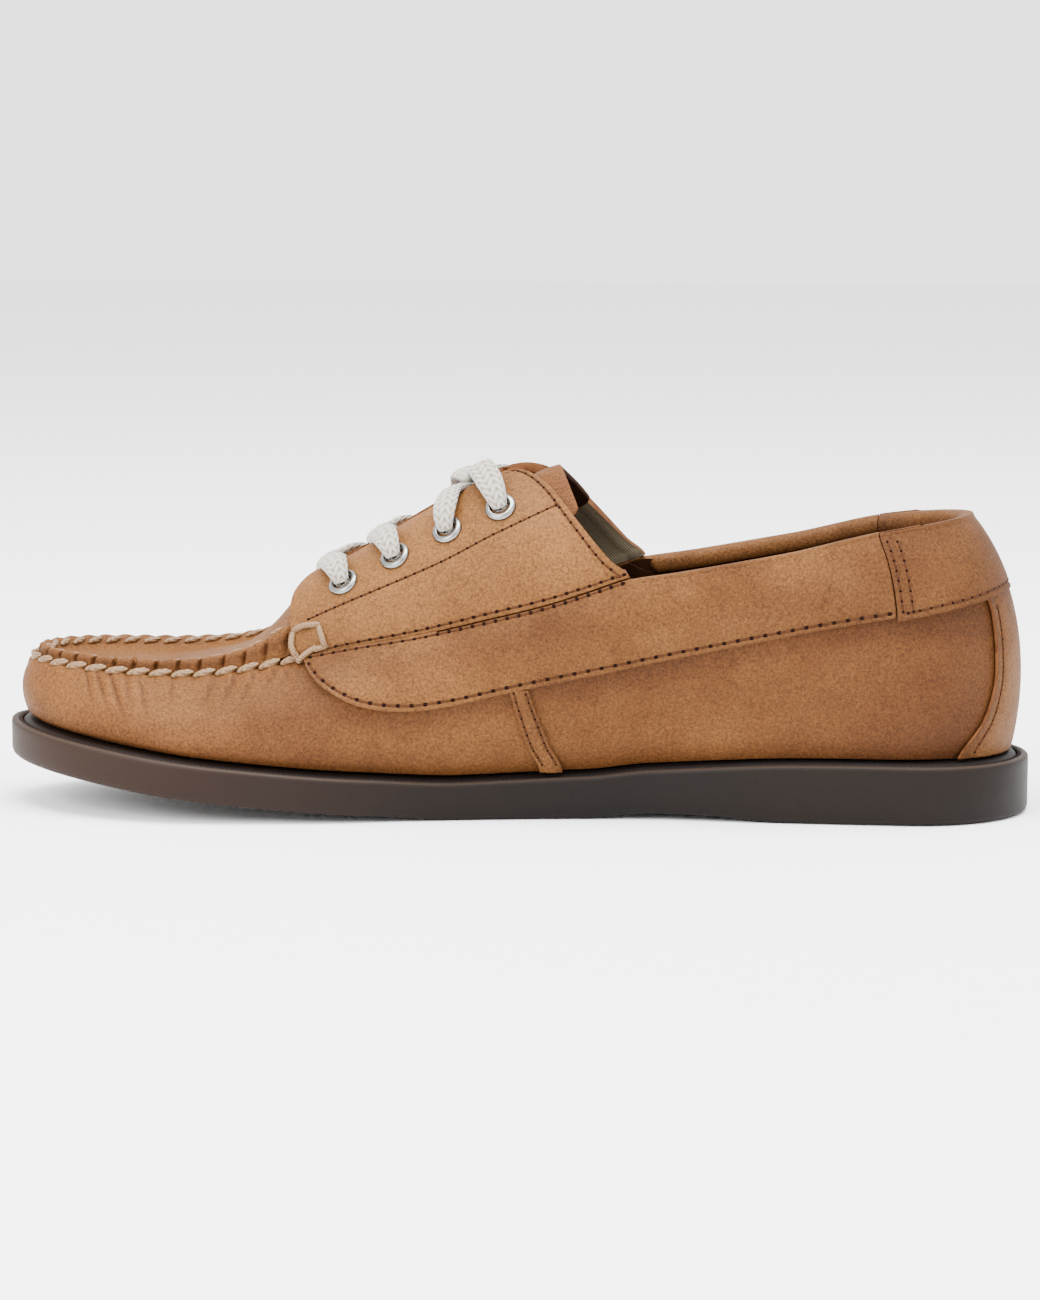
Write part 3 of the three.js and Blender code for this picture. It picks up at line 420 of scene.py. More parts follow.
class Finish:
    """One material with a principled shader, its nodes and its maths."""

    def __init__(self, name, **constants):
        self.material = bpy.data.materials.new(name)
        self.material.use_nodes = True
        self.tree = self.material.node_tree
        self.tree.nodes.clear()
        self.shader = self.node("ShaderNodeBsdfPrincipled", {}, constants)
        self.node("ShaderNodeOutputMaterial", {}, {"Surface": self.shader.outputs[0]})
        self.place = self.node("ShaderNodeTexCoord").outputs["Object"]

    def plug(self, socket, value):
        if isinstance(value, Value):
            value = value.socket
        if isinstance(value, bpy.types.NodeSocket):
            self.tree.links.new(value, socket)
        else:
            socket.default_value = value

    def node(self, kind, settings=None, sockets=None):
        node = self.tree.nodes.new(kind)
        for name, value in (settings or {}).items():
            setattr(node, name, value)
        for name, value in (sockets or {}).items():
            self.plug(node.inputs[name.replace("_", " ") if isinstance(name, str) else name], value)
        return node

    def noise(self, scale, detail=2.0, roughness=0.5, place=None):
        sockets = {"Vector": place or self.place, "Scale": scale, "Detail": detail, "Roughness": roughness}
        return Value(self, self.node("ShaderNodeTexNoise", {}, sockets).outputs[0])

    def cells(self, scale, feature="F1", place=None):
        sockets = {"Vector": place or self.place, "Scale": scale}
        return Value(self, self.node("ShaderNodeTexVoronoi", {"feature": feature}, sockets).outputs[0])

    def attribute(self, name):
        return Value(self, self.node("ShaderNodeAttribute", {"attribute_name": name}).outputs["Fac"])

    def uv(self):
        parts = self.node("ShaderNodeSeparateXYZ", {}, {0: self.node("ShaderNodeTexCoord").outputs["UV"]})
        return Value(self, parts.outputs[0]), Value(self, parts.outputs[1])

    def height(self):
        parts = self.node("ShaderNodeSeparateXYZ", {}, {0: self.place})
        return Value(self, parts.outputs[2])

    def mix(self, share, first, second):
        node = self.tree.nodes.new("ShaderNodeMix")
        node.data_type = "RGBA"
        self.plug(node.inputs[0], share)
        self.plug(node.inputs[6], first)
        self.plug(node.inputs[7], second)
        return node.outputs[2]

    def bump(self, height, depth, strength=1.0):
        sockets = {"Height": height, "Distance": depth, "Strength": strength}
        return self.node("ShaderNodeBump", {}, sockets).outputs[0]

    def feed(self, **sockets):
        for name, value in sockets.items():
            self.plug(self.shader.inputs[name.replace("_", " ")], value)
        return self


LIGHT = 3.3
DEEPEN = 1.5


def colour(red, green, blue, warmth=1.52):
    """The paint that shows as a given colour, 0 to 255, under this light and the picture's own curve."""
    seen = np.array([((c / 255 + 0.055) / 1.055) ** 2.4 if c > 10 else c / 255 / 12.92 for c in (red, green, blue)])
    middle = np.prod(seen) ** (1 / 3)
    paint = (seen / middle) ** warmth * 1.231 * middle**DEEPEN / LIGHT
    return (*np.clip(paint, 0.001, 0.95).tolist(), 1.0)


def leather(name, light, middle, deep, rough=0.62):
    """Tan nubuck: cloudy colour, fine speckle, small grain, with painted shade and painted light where the mesh's
    shading attribute says so.
    """
    finish = Finish(name, Roughness=rough, Specular_IOR_Level=0.1)
    clouds = finish.noise(26, 3, 0.55)
    patches = finish.noise(90, 3, 0.6)
    speckle = finish.noise(1300, 3, 0.8)
    pores = finish.cells(1100)
    tone = finish.attribute("tone")
    base = finish.mix(clouds.between(0.36, 0.66) * 0.45, middle, light)
    base = finish.mix(patches.between(0.45, 0.75) * 0.35, base, deep)
    # Painted shade where the shading attribute is above 0, painted light where it is below 0.
    base = finish.mix(tone.between(0.0, 1.0) * 0.85, base, deep)
    painted_light_share = (tone * -1).between(0.0, 1.0) * 0.7
    base = finish.mix(painted_light_share, base, light)
    dots = finish.mix(speckle.between(0.3, 0.72), (0.42, 0.36, 0.33, 1), (1.5, 1.54, 1.6, 1))
    scaled = finish.tree.nodes.new("ShaderNodeMix")
    scaled.data_type = "RGBA"
    scaled.blend_type = "MULTIPLY"
    finish.plug(scaled.inputs[0], 0.95)
    finish.plug(scaled.inputs[6], base)
    finish.plug(scaled.inputs[7], dots)
    grain = pores * 0.5 + speckle * 0.6 + patches * 0.5
    finish.feed(Base_Color=scaled.outputs[2], Normal=finish.bump(grain, 0.0003, 0.7))
    finish.feed(Roughness=patches.between(0.3, 0.7) * 0.12 + (rough - 0.06))
    return finish.material


def plain(name, first, second, scale, rough, depth, grain_scale, **constants):
    finish = Finish(name, **{"Roughness": rough, "Specular_IOR_Level": 0.08, **constants})
    clouds = finish.noise(scale, 3, 0.6)
    grain = finish.noise(grain_scale, 3, 0.65)
    base = finish.mix(clouds.between(0.35, 0.65), first, second)
    base = finish.mix(grain.between(0.3, 0.75) * 0.35, base, second)
    finish.feed(Base_Color=base, Normal=finish.bump(grain, depth, 0.6))
    return finish.material


TAN = leather("tan_leather", colour(190, 145, 95), colour(160, 118, 74), colour(132, 93, 60))
PANEL_TAN = leather("panel_leather", colour(204, 159, 108), colour(159, 118, 74), colour(126, 88, 56))
TONGUE_TAN = leather("tongue_leather", colour(180, 134, 87), colour(164, 119, 76), colour(126, 84, 54))
CUT_EDGE = plain("cut_edge", colour(178, 134, 96), colour(146, 102, 70), 300, 0.8, 0.0002, 2200)
SUEDE = plain("brown_suede", colour(122, 86, 62, 1.4), colour(90, 60, 42, 1.4), 120, 0.92, 0.0004, 1500)
BROWN_LINING = plain("brown_lining", colour(134, 96, 68, 1.5), colour(104, 72, 50, 1.5), 60, 0.85, 0.0003, 1300)
# Needle holes: dark dots of painted shade.
HOLE_SHADE = plain("stitch_hole_shade", colour(84, 50, 32, 1.3), colour(64, 38, 24, 1.3), 500, 0.9, 0.0001, 3000,
                    Specular_IOR_Level=0.05)
MACHINE_THREAD = plain("machine_thread", colour(150, 106, 74, 1.35), colour(122, 84, 56, 1.35), 900, 0.75, 0.0001, 4000)


def textile(name, first, second, pitch=0.0009):
    finish = Finish(name, Roughness=0.92, Specular_IOR_Level=0.1)
    parts = finish.node("ShaderNodeSeparateXYZ", {}, {0: finish.place})
    x, y, z = (Value(finish, parts.outputs[i]) for i in range(3))
    turn = 2 * math.pi / pitch
    over = ((x + y * 0.6) * turn).sine() * ((z + y * 0.8) * turn).sine()
    fuzz = finish.noise(1800, 2, 0.6)
    base = finish.mix(over.between(-0.6, 0.8) * 0.6 + fuzz * 0.4, first, second)
    finish.feed(Base_Color=base, Normal=finish.bump(over * 0.5 + fuzz, 0.0002, 0.7))
    return finish.material


TEXTILE = textile("grey_textile", colour(152, 138, 116, 1.3), colour(188, 174, 150, 1.3))
SOCK = textile("sock_textile", colour(150, 124, 94, 1.4), colour(184, 156, 122, 1.4))


def rubber():
    finish = Finish("sole_rubber", Roughness=0.6, Specular_IOR_Level=0.12)
    parts = finish.node("ShaderNodeSeparateXYZ", {}, {0: finish.place})
    length = Value(finish, parts.outputs[0])
    clouds = finish.noise(40, 3, 0.6)
    grain = finish.noise(900, 3, 0.7)
    base = finish.mix(clouds.between(0.3, 0.7) * 0.7, colour(61, 49, 43, 1.7), colour(71, 58, 50, 1.7))
    # Painted light: the toe end of the sole is painted lighter, as it faces the lamps.
    front = length.between(0.02, 0.14) * 0.75
    base = finish.mix(front, base, colour(107, 86, 73, 1.7))
    # Painted shade: the middle of the sole's length is painted darker.
    painted_mid_shade = 1 - (length + 0.03).size().between(0.0, 0.06)
    base = finish.mix(painted_mid_shade * 0.5, base, colour(50, 43, 40, 1.2))
    # Painted highlight on the rim's rounded top where the shading attribute is above 0, painted shade in the groove and
    # on the deck where it is below 0.
    base = finish.mix(finish.attribute("tone").between(0.0, 1.0), base, colour(118, 102, 90, 1.4))
    base = finish.mix((finish.attribute("tone") * -1).between(0.0, 1.0), base, colour(58, 42, 32, 1.4))
    finish.feed(Base_Color=base, Normal=finish.bump(grain, 0.00012, 0.5))
    finish.feed(Roughness=clouds * 0.15 + 0.48)
    return finish.material


def lace_weave():
    """Flat braid: lanes of slanting strands, which lean the other way in every second lane."""
    finish = Finish("lace_cotton", Roughness=0.88, Sheen_Weight=0.25)
    along, round_ = finish.uv()
    zigzag = round_.math("PINGPONG", 0.5) * 2
    strands = ((along * 1.6 + zigzag * 0.9) * (2 * math.pi)).sine() * 0.7
    strands = strands + (zigzag * math.pi).sine() * 0.9 - 0.5
    fuzz = finish.noise(2600, 2, 0.7)
    # Painted light on the raised strands and painted shade between them, from a shaded tan to a lit white.
    lit = (strands * 0.7 + fuzz * 0.6).between(-0.35, 0.75)
    base = finish.mix(lit, colour(204, 184, 156, 1.4), colour(255, 250, 240, 1.2))
    finish.feed(Base_Color=base, Normal=finish.bump(strands * 0.8 + fuzz * 0.25, 0.00035, 0.9))
    return finish.material


def waxed_thread():
    finish = Finish("waxed_thread", Roughness=0.5, Specular_IOR_Level=0.4)
    along, round_ = finish.uv()
    twist = ((along * 5 + round_ * 2) * (2 * math.pi)).sine()
    fuzz = finish.noise(2500, 2, 0.6)
    base = finish.mix((twist * 0.35 + fuzz).between(0.1, 0.9), colour(166, 128, 90, 1.5), colour(212, 180, 140, 1.5))
    finish.feed(Base_Color=base, Normal=finish.bump(twist, 0.0001, 0.5))
    return finish.material


def nickel():
    finish = Finish("eyelet_nickel", Metallic=1.0)
    marks = finish.noise(400, 3, 0.6)
    finish.feed(Base_Color=finish.mix(marks, colour(205, 205, 202), colour(232, 232, 228)))
    finish.feed(Roughness=marks * 0.15 + 0.16)
    return finish.material


RUBBER = rubber()
LACE = lace_weave()
WAXED = waxed_thread()
NICKEL = nickel()


# Making pieces
def select_only(piece):
    bpy.ops.object.select_all(action="DESELECT")
    piece.select_set(True)
    bpy.context.view_layer.objects.active = piece


def apply(piece, kind, **settings):
    select_only(piece)
    modifier = piece.modifiers.new(kind.lower(), kind)
    for name, value in settings.items():
        setattr(modifier, name, value)
    bpy.ops.object.modifier_apply(modifier=modifier.name)


def edit(piece, *steps):
    select_only(piece)
    bpy.ops.object.mode_set(mode="EDIT")
    bpy.ops.mesh.select_all(action="SELECT")
    for step in steps:
        step()
    bpy.ops.object.mode_set(mode="OBJECT")


def finished(piece, node_names):
    select_only(piece)
    bpy.ops.object.shade_smooth_by_angle(angle=math.radians(50))
    if node_names:
        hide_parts(*node_names)
    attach(piece, "root")
    return piece


def sheet_grid(name, across, up, shape, materials, outward=True, tone=None):
    """A grid laid on a shape: a function of two shares that gives points and directions out."""
    bpy.ops.object.select_all(action="DESELECT")
    bpy.ops.mesh.primitive_grid_add(x_subdivisions=across, y_subdivisions=up, size=2)
    piece = bpy.context.object
    piece.name = name
    mesh = piece.data
    mesh.name = name
    flat = np.empty(len(mesh.vertices) * 3)
    mesh.vertices.foreach_get("co", flat)
    flat = flat.reshape(-1, 3)
    u, v = (flat[:, 0] + 1) / 2, (flat[:, 1] + 1) / 2
    points, normals = shape(u, v)
    mesh.vertices.foreach_set("co", world(points).ravel())
    # Painted light and shade per point, which the leather and rubber materials turn into lighter or darker colour.
    shades = mesh.attributes.new("tone", "FLOAT", "POINT")
    shades.data.foreach_set("value", (np.zeros(len(u)) if tone is None else tone(points, u, v)).astype(float))
    mesh.update()
    if outward:
        facing = np.empty(len(mesh.polygons) * 3)
        mesh.polygons.foreach_get("normal", facing)
        facing = facing.reshape(-1, 3)
        corners = np.empty(len(mesh.loops), int)
        mesh.loops.foreach_get("vertex_index", corners)
        mean = normals[corners].reshape(len(mesh.polygons), 4, 3).mean(axis=1)
        if (facing * mean).sum() < 0:
            mesh.flip_normals()
    for material in materials:
        mesh.materials.append(material)
    return piece


def weld(piece, distance=2e-6):
    edit(piece, lambda: bpy.ops.mesh.remove_doubles(threshold=distance))


def thicken(piece, thickness, inside=0, rim=0, bevel=0.35):
    """Gives a sheet its thickness inwards and rounds its cut edges."""
    apply(piece, "SOLIDIFY", thickness=thickness / 1000, offset=-1, use_even_offset=False,
          material_offset=inside, material_offset_rim=rim, use_quality_normals=True)
    if bevel:
        apply(piece, "BEVEL", width=bevel / 1000, segments=2, limit_method="ANGLE",
              angle_limit=math.radians(55))


def tube(name, path, across, lift, half_width, half_thick, sides, materials, uv_length, uv_round):
    """A cord along a path, with its flat side facing out and both ends closed."""
    count = len(path)
    path = np.asarray(path)

    def shape(u, v):
        station = np.clip(np.round(u * (count + 1)).astype(int), 0, count + 1)
        index = np.clip(station - 1, 0, count - 1)
        shrink = np.where((station == 0) | (station == count + 1), 0.0, 1.0)
        turn = v * 2 * math.pi
        wide = half_width[index] * shrink
        thick = half_thick[index] * shrink
        normal = across[index] * np.cos(turn)[:, None] + lift[index] * np.sin(turn)[:, None]
        point = (
            path[index]
            + across[index] * (wide * np.cos(turn))[:, None]
            + lift[index] * (thick * np.sin(turn))[:, None]
        )
        return point, normal

    piece = sheet_grid(name, count + 1, sides, shape, materials)
    layer = piece.data.uv_layers.active.data
    values = np.empty(len(layer) * 2)
    layer.foreach_get("uv", values)
    values = values.reshape(-1, 2) * [uv_length, uv_round]
    layer.foreach_set("uv", values.ravel())
    weld(piece)
    return piece


def base_shape(make):
    """A small shape that is copied many times: its points, faces and map."""
    bpy.ops.object.select_all(action="DESELECT")
    make()
    piece = bpy.context.object
    mesh = piece.data
    points = np.array([vertex.co[:] for vertex in mesh.vertices])
    faces = [tuple(face.vertices) for face in mesh.polygons]
    uv = np.array([item.uv[:] for item in mesh.uv_layers.active.data])
    bpy.data.objects.remove(piece)
    return points, faces, uv


def copies(name, base, places, material):
    """Copies of a small shape. A place is its middle, its three axes in millimetres."""
    points, faces, uv = base
    every, all_faces, all_uv = [], [], []
    for number, (middle, along, across, out) in enumerate(places):
        turned_points = points @ np.array([along, across, out]) + middle
        every.append(turned_points)
        start = number * len(points)
        all_faces += [tuple(index + start for index in face) for face in faces]
        all_uv.append(uv)
    mesh = bpy.data.meshes.new(name)
    mesh.from_pydata(world(np.concatenate(every)).tolist(), [], all_faces)
    layer = mesh.uv_layers.new(name="UVMap")
    layer.data.foreach_set("uv", np.concatenate(all_uv).ravel())
    mesh.materials.append(material)
    piece = bpy.data.objects.new(name, mesh)
    bpy.context.scene.collection.objects.link(piece)
    edit(piece, lambda: bpy.ops.mesh.normals_make_consistent(inside=False))
    return piece


STRAND = base_shape(lambda: bpy.ops.mesh.primitive_uv_sphere_add(segments=10, ring_count=8, radius=1))
THREAD = base_shape(lambda: bpy.ops.mesh.primitive_uv_sphere_add(segments=6, ring_count=5, radius=1))
DOT = base_shape(lambda: bpy.ops.mesh.primitive_uv_sphere_add(segments=8, ring_count=4, radius=1))


def spaced(points, normals, pitch, start=0.0):
    """Places at equal steps along a line: middle, direction along, direction out."""
    points, normals = np.asarray(points), np.asarray(normals)
    steps = np.linalg.norm(np.diff(points, axis=0), axis=1)
    run = np.concatenate([[0], np.cumsum(steps)])
    at = np.arange(start, run[-1] + 1e-6, pitch)
    middle = np.stack([np.interp(at, run, points[:, i]) for i in range(3)], axis=-1)
    ahead = np.stack([np.interp(at + 0.4, run, points[:, i]) for i in range(3)], axis=-1)
    behind = np.stack([np.interp(at - 0.4, run, points[:, i]) for i in range(3)], axis=-1)
    out = unit(np.stack([np.interp(at, run, normals[:, i]) for i in range(3)], axis=-1))
    along = unit(ahead - behind)
    return middle, along, out


def machine_row(name, points, normals, pitch=3.4, hole=0.72):
    """A row of machine stitches: a thin sunk thread between needle holes drawn as dark dots of painted shade."""
    middle, along, out = spaced(points, normals, pitch)
    across = np.cross(out, along)
    holes = [
        (m + n * 0.02, a * hole * 1.15, c * hole * 0.9, n * 0.14) for m, a, c, n in zip(middle, along, across, out)
    ]
    dots = copies(name + "_holes", DOT, holes, HOLE_SHADE)
    finished(dots, [])
    mid, along, out = spaced(points, normals, pitch, pitch / 2)
    across = np.cross(out, along)
    threads = [
        (m + n * 0.04, a * (pitch / 2 - 0.1), c * 0.33, n * 0.24) for m, a, c, n in zip(mid, along, across, out)
    ]
    thread = copies(name + "_thread", THREAD, threads, MACHINE_THREAD)
    finished(thread, [])


# The hand-sewn seam round the toe: how far its stations lie along it, for puckers that meet the stitches
SEAM_START = 0.7035
fine = np.linspace(0, 2 * math.pi, 2881)
seam_points = wall(fine, np.ones_like(fine))
seam_run = np.concatenate([[0], np.cumsum(np.linalg.norm(np.diff(seam_points, axis=0), axis=1))])
front_turn = math.acos(1 - 2 * (SEAM_START * SOLE_LENGTH - HEEL_REACH[3]) / (TOE_REACH[3] - HEEL_REACH[3]))
seam_zero = float(np.interp(front_turn, fine, seam_run))
seam_end = float(np.interp(2 * math.pi - front_turn, fine, seam_run))


def seam_wave(turn):
    """Runs from -1 in a pucker to 1 between two puckers, once a stitch."""
    run = np.interp(np.mod(turn, 2 * math.pi), fine, seam_run) - seam_zero
    wobble = 0.35 * np.sin(run * 0.37) + 0.2 * np.sin(run * 0.83 + 1)
    return np.cos(2 * math.pi * (run + wobble * 0.5) / SEAM_STITCH)


# Soft creases in the wall: length, height, reach along, reach up, lean, depth in millimetres
CREASES = [
    (268.5, 37.0, 0.55, 3.6, 0.45, 0.4), (264.5, 36.6, 0.5, 4.6, 0.55, 0.5), (260.0, 35.8, 0.6, 5.0, 0.6, 0.55),
    (256.5, 36.4, 0.5, 3.6, 0.4, 0.4), (252.0, 35.6, 0.6, 4.6, 0.45, 0.45), (243.5, 36.0, 0.6, 3.4, 0.1, 0.3),
    (232.5, 37.4, 0.6, 3.8, -0.2, 0.35), (226.5, 37.8, 0.6, 4.4, -0.3, 0.45), (221.0, 38.6, 0.55, 4.6, -0.4, 0.45),
    (215.0, 40.4, 0.55, 4.2, -0.5, 0.4), (210.5, 41.0, 0.6, 3.6, -0.5, 0.35),
    (222.0, 26.0, 20.0, 2.6, 0.0, 0.35), (244.0, 24.0, 16.0, 2.2, 0.0, 0.25), (198.0, 28.0, 9.0, 2.4, 0.0, 0.3),
    (60.0, 33.0, 14.0, 3.0, 0.0, 0.3), (95.0, 27.0, 18.0, 2.8, 0.0, 0.3), (120.0, 33.0, 3.0, 6.0, 0.3, 0.25),
]


def creased(points, narrow=False):
    """Depth of the soft troughs of the wall at a place, or of the narrow ones alone."""
    x, z = points[..., 0], points[..., 2]
    depth = np.zeros(x.shape)
    for at, height, reach, tall, lean, deep in CREASES:
        if narrow and reach > 2:
            continue
        shift = x - at - lean * (z - height)
        depth += deep * np.exp(-((shift / reach) ** 2) - ((z - height) / tall) ** 2)
        depth -= 0.35 * deep * np.exp(-(((shift - 2.2 * reach) / (1.3 * reach)) ** 2) - ((z - height) / tall) ** 2)
    return depth


def wall_spread(u):
    """Turn round the last, with the stations closer together at the toe."""
    return 2 * math.pi * u + 0.5 * np.sin(2 * math.pi * u)


def wall_shape(u, v):
    turn = wall_spread(u)
    at, _ = turned(turn)
    x = HEEL_REACH[3] + (TOE_REACH[3] - HEEL_REACH[3]) * at
    limit = rise_at(turn, top_line(np.minimum(x, 113.2)) - 1.2)
    open_top = 1 - smooth(108, 116, x)
    high = np.where(open_top > 0, limit * open_top + (1 - open_top), 1.0)
    rise = high * (v * 0.35 + 0.65 * v ** 0.8)
    point, normal = with_normal(wall, turn, rise)
    toe = smooth(0.69, 0.72, x / SOLE_LENGTH)
    near_seam = bell(rise, 1.0, 0.16) * toe
    gathered = 0.32 * seam_wave(turn) * near_seam
    tuck = -0.7 * bell(rise, 1.0, 0.035) * toe
    swell = 0.5 * bell(rise, 0.87, 0.07) * toe
    depth = gathered + tuck + swell - creased(point)
    foot = -0.8 * bell(v, 0.0, 0.03)
    return point + normal * (depth + foot)[:, None], normal


# Painted shading of the wall: above 0 is painted shade, below 0 painted light.
def wall_painted_shading(points, u, v):
    x, z = points[:, 0], points[:, 2]
    turn = wall_spread(u)
    at, inner = turned(turn)
    # Painted shade: the wall is painted darker in the puckers under the hand stitches, near the sole and just under the
    # panel's low edge.
    pleat_shade = 1.2 * np.clip(-seam_wave(turn), 0, 1) ** 8 * bell(v, 1.0, 0.1) * smooth(205, 215, x)
    shade_near_sole = 0.55 * bell(v, 0.0, 0.12)
    shadow_under_panel = 0.5 * bell(z, panel_low(np.clip(x, 38, 206)) - 2.5, 3.5) * (x < 208)
    # Painted shade: reddish darker patches below the panel, and darker just under the toe seam.
    red = 0.4 * bell(x, 205, 28) * bell(z, 27, 8) + 0.35 * bell(x, 105, 45) * bell(z, 42, 9)
    seam = 0.5 * bell(v, 1.0, 0.05) * smooth(200, 212, x)
    # Painted light: two patches painted paler. Painted shade: darker towards the heel and in the narrow creases.
    light = -0.45 * bell(x, 255, 30) * bell(z, 33, 6) - 0.3 * bell(x, 90, 40) * bell(z, 24, 5)
    heel = 0.7 * (1 - smooth(5, 95, x))
    return heel + shade_near_sole + shadow_under_panel + red + seam + light + 2.6 * creased(points, True) + pleat_shade


upper_wall = sheet_grid("upper_wall", 640, 52, wall_shape, [TAN, BROWN_LINING, CUT_EDGE], tone=wall_painted_shading)
weld(upper_wall)
thicken(upper_wall, 1.6, 1, 0, 0.3)
finished(upper_wall, ["upper"])

# Toe apron: the gathered band above the hand stitches, its folded edge, and the hollow top inside it
APRON_PROFILE = [
    (0.25, -0.9, 1.0), (0.5, -0.1, 1.0), (0.75, 0.9, 1.0), (0.9, 1.8, 1.0), (1.05, 2.6, 1.0), (1.4, 3.2, 0.9),
    (2.0, 3.5, 0.75), (2.8, 3.2, 0.6), (3.6, 2.2, 0.5), (4.4, 1.3, 0.4), (5.6, 0.6, 0.28), (7.5, 0.15, 0.14),
    (10, 0, 0.05), (14, 0, 0), (20, 0, 0), (28, 0, 0),
]
apron_in = Curve([(i / 15, row[0]) for i, row in enumerate(APRON_PROFILE)])
apron_up = Curve([(i / 15, row[1]) for i, row in enumerate(APRON_PROFILE)])
apron_gather = Curve([(i / 15, row[2]) for i, row in enumerate(APRON_PROFILE)])
APRON_BACK = 196.0


def apron_turn(u, v):
    inward = apron_in(v) / APRON_ROUND
    heel = HEEL_REACH[3] + APRON_ROUND * inward
    toe = TOE_REACH[3] - APRON_ROUND * inward
    start = np.arccos(1 - 2 * (APRON_BACK - heel) / (toe - heel))
    return start + (2 * math.pi - 2 * start) * u


def apron_shape(u, v):
    inward = apron_in(v) / APRON_ROUND
    turn = apron_turn(u, v)
    base, normal = with_normal(top, turn, np.clip(inward, 0.02, 0.98))
    point = top(turn, inward)
    share = point[:, 0] / SOLE_LENGTH
    tall = smooth(0.7, 0.716, share)
    wave = seam_wave(turn)
    gather = apron_gather(v)
    point[:, 2] += apron_up(v) * tall + 0.28 * wave * gather * tall * smooth(0.1, 0.4, v)
    seam, seam_normal = with_normal(wall, turn, np.ones_like(turn))
    outward = unit(seam_normal * [1, 1, 0])
    band = bell(v, 0.24, 0.22)
    sharp = 0.4 - 1.7 * np.clip(-wave, 0, 1) ** 6
    point += outward * (0.95 * sharp * band * tall)[:, None]
    sunk = -1.7 * (1 - tall)
    level = smooth(0.4, 0.9, inward)[:, None]
    return point + (normal * (1 - level) + np.array([0, 0, 1.0]) * level) * sunk[:, None], normal


# Painted shading of the apron: painted shade on the band's outer face and in its puckers, painted highlight on the
# fold's crest and in the hollow top.
def apron_painted_shading(points, u, v):
    edge = 0.55 * bell(v, 0.22, 0.1) - 0.3 * bell(v, 0.42, 0.07)
    hollow_highlight = -0.5 * bell(v, 0.8, 0.2)
    pleat_shade = 1.6 * np.clip(-seam_wave(apron_turn(u, v)), 0, 1) ** 9 * bell(v, 0.24, 0.15)
    return edge + hollow_highlight + pleat_shade


apron = sheet_grid("apron", 520, 52, apron_shape, [TAN], tone=apron_painted_shading)
weld(apron)
thicken(apron, 1.1, 0, 0, 0)
finished(apron, [])

# Hand stitches outside the ridge and on its inner face
count = int((seam_end - seam_zero) / SEAM_STITCH)
stitch_run = seam_zero + 1.0 + np.arange(count) * SEAM_STITCH
stitch_turn = np.interp(stitch_run, seam_run, fine)
outer_places, inner_places = [], []
for turn in stitch_turn:
    seam, normal = with_normal(wall, np.array([turn]), np.array([0.985]))
    ahead = wall(np.array([turn + 0.01]), np.array([1.0])) - wall(np.array([turn - 0.01]), np.array([1.0]))
    along = unit(ahead)[0]
    out = unit(unit(normal[0] * [1, 1, 0.4]))
    up = unit(np.cross(along, out))
    if up[2] < 0:
        up = -up
    slant = unit(-along + up * 0.24) if turn < math.pi else unit(along + up * 0.24)
    across = np.cross(out, slant)
    outer_places.append((seam[0] + out * 0.55 - up * 0.1, slant * 3.5, across * 1.22, out * 1.15))
    if seam[0][0] < 216:
        continue
    inward = 3.4 / APRON_ROUND
    point, face = with_normal(top, np.array([turn]), np.array([inward]))
    middle = point[0] + np.array([0, 0, 2.3])
    inner_out = unit(-out * [1, 1, 0] + np.array([0, 0, 0.9]))
    inner_up = unit(np.cross(inner_out, along))
    if inner_up[2] < 0:
        inner_up = -inner_up
    slant = unit(-along + inner_up * 0.3) if turn < math.pi else unit(along + inner_up * 0.3)
    inner_places.append((middle + inner_out * 0.35, slant * 2.9, np.cross(inner_out, slant) * 0.95, inner_out * 0.85))
hand = copies("hand_stitches_outside", STRAND, outer_places, WAXED)
finished(hand, [])
hand = copies("hand_stitches_inside", STRAND, inner_places, WAXED)
finished(hand, [])

# Side panels: round front end, cut lower edge, top edge turned in over the collar
ROLL = [(1.7, -1.6), (1.65, -0.8), (1.35, -0.25), (0.7, 0.0), (-0.3, 0.0), (-1.4, -0.15), (-2.3, -0.8), (-2.8, -1.8),
        (-2.9, -3.2), (-2.7, -4.4), (-2.2, -5.2)]
TUCK = [(1.7, -0.9), (1.68, -0.6), (1.5, -0.35), (1.2, -0.25), (0.9, -0.25), (0.7, -0.25), (0.6, -0.25),
        (0.5, -0.25), (0.4, -0.25), (0.3, -0.25), (0.25, -0.25)]
roll_out = Curve([(i / 10, p[0]) for i, p in enumerate(ROLL)])
roll_up = Curve([(i / 10, p[1]) for i, p in enumerate(ROLL)])
tuck_out = Curve([(i / 10, p[0]) for i, p in enumerate(TUCK)])
tuck_up = Curve([(i / 10, p[1]) for i, p in enumerate(TUCK)])
FACE_SHARE = 0.72


def seam_height(x):
    return last["seam"](np.asarray(x) / SOLE_LENGTH)


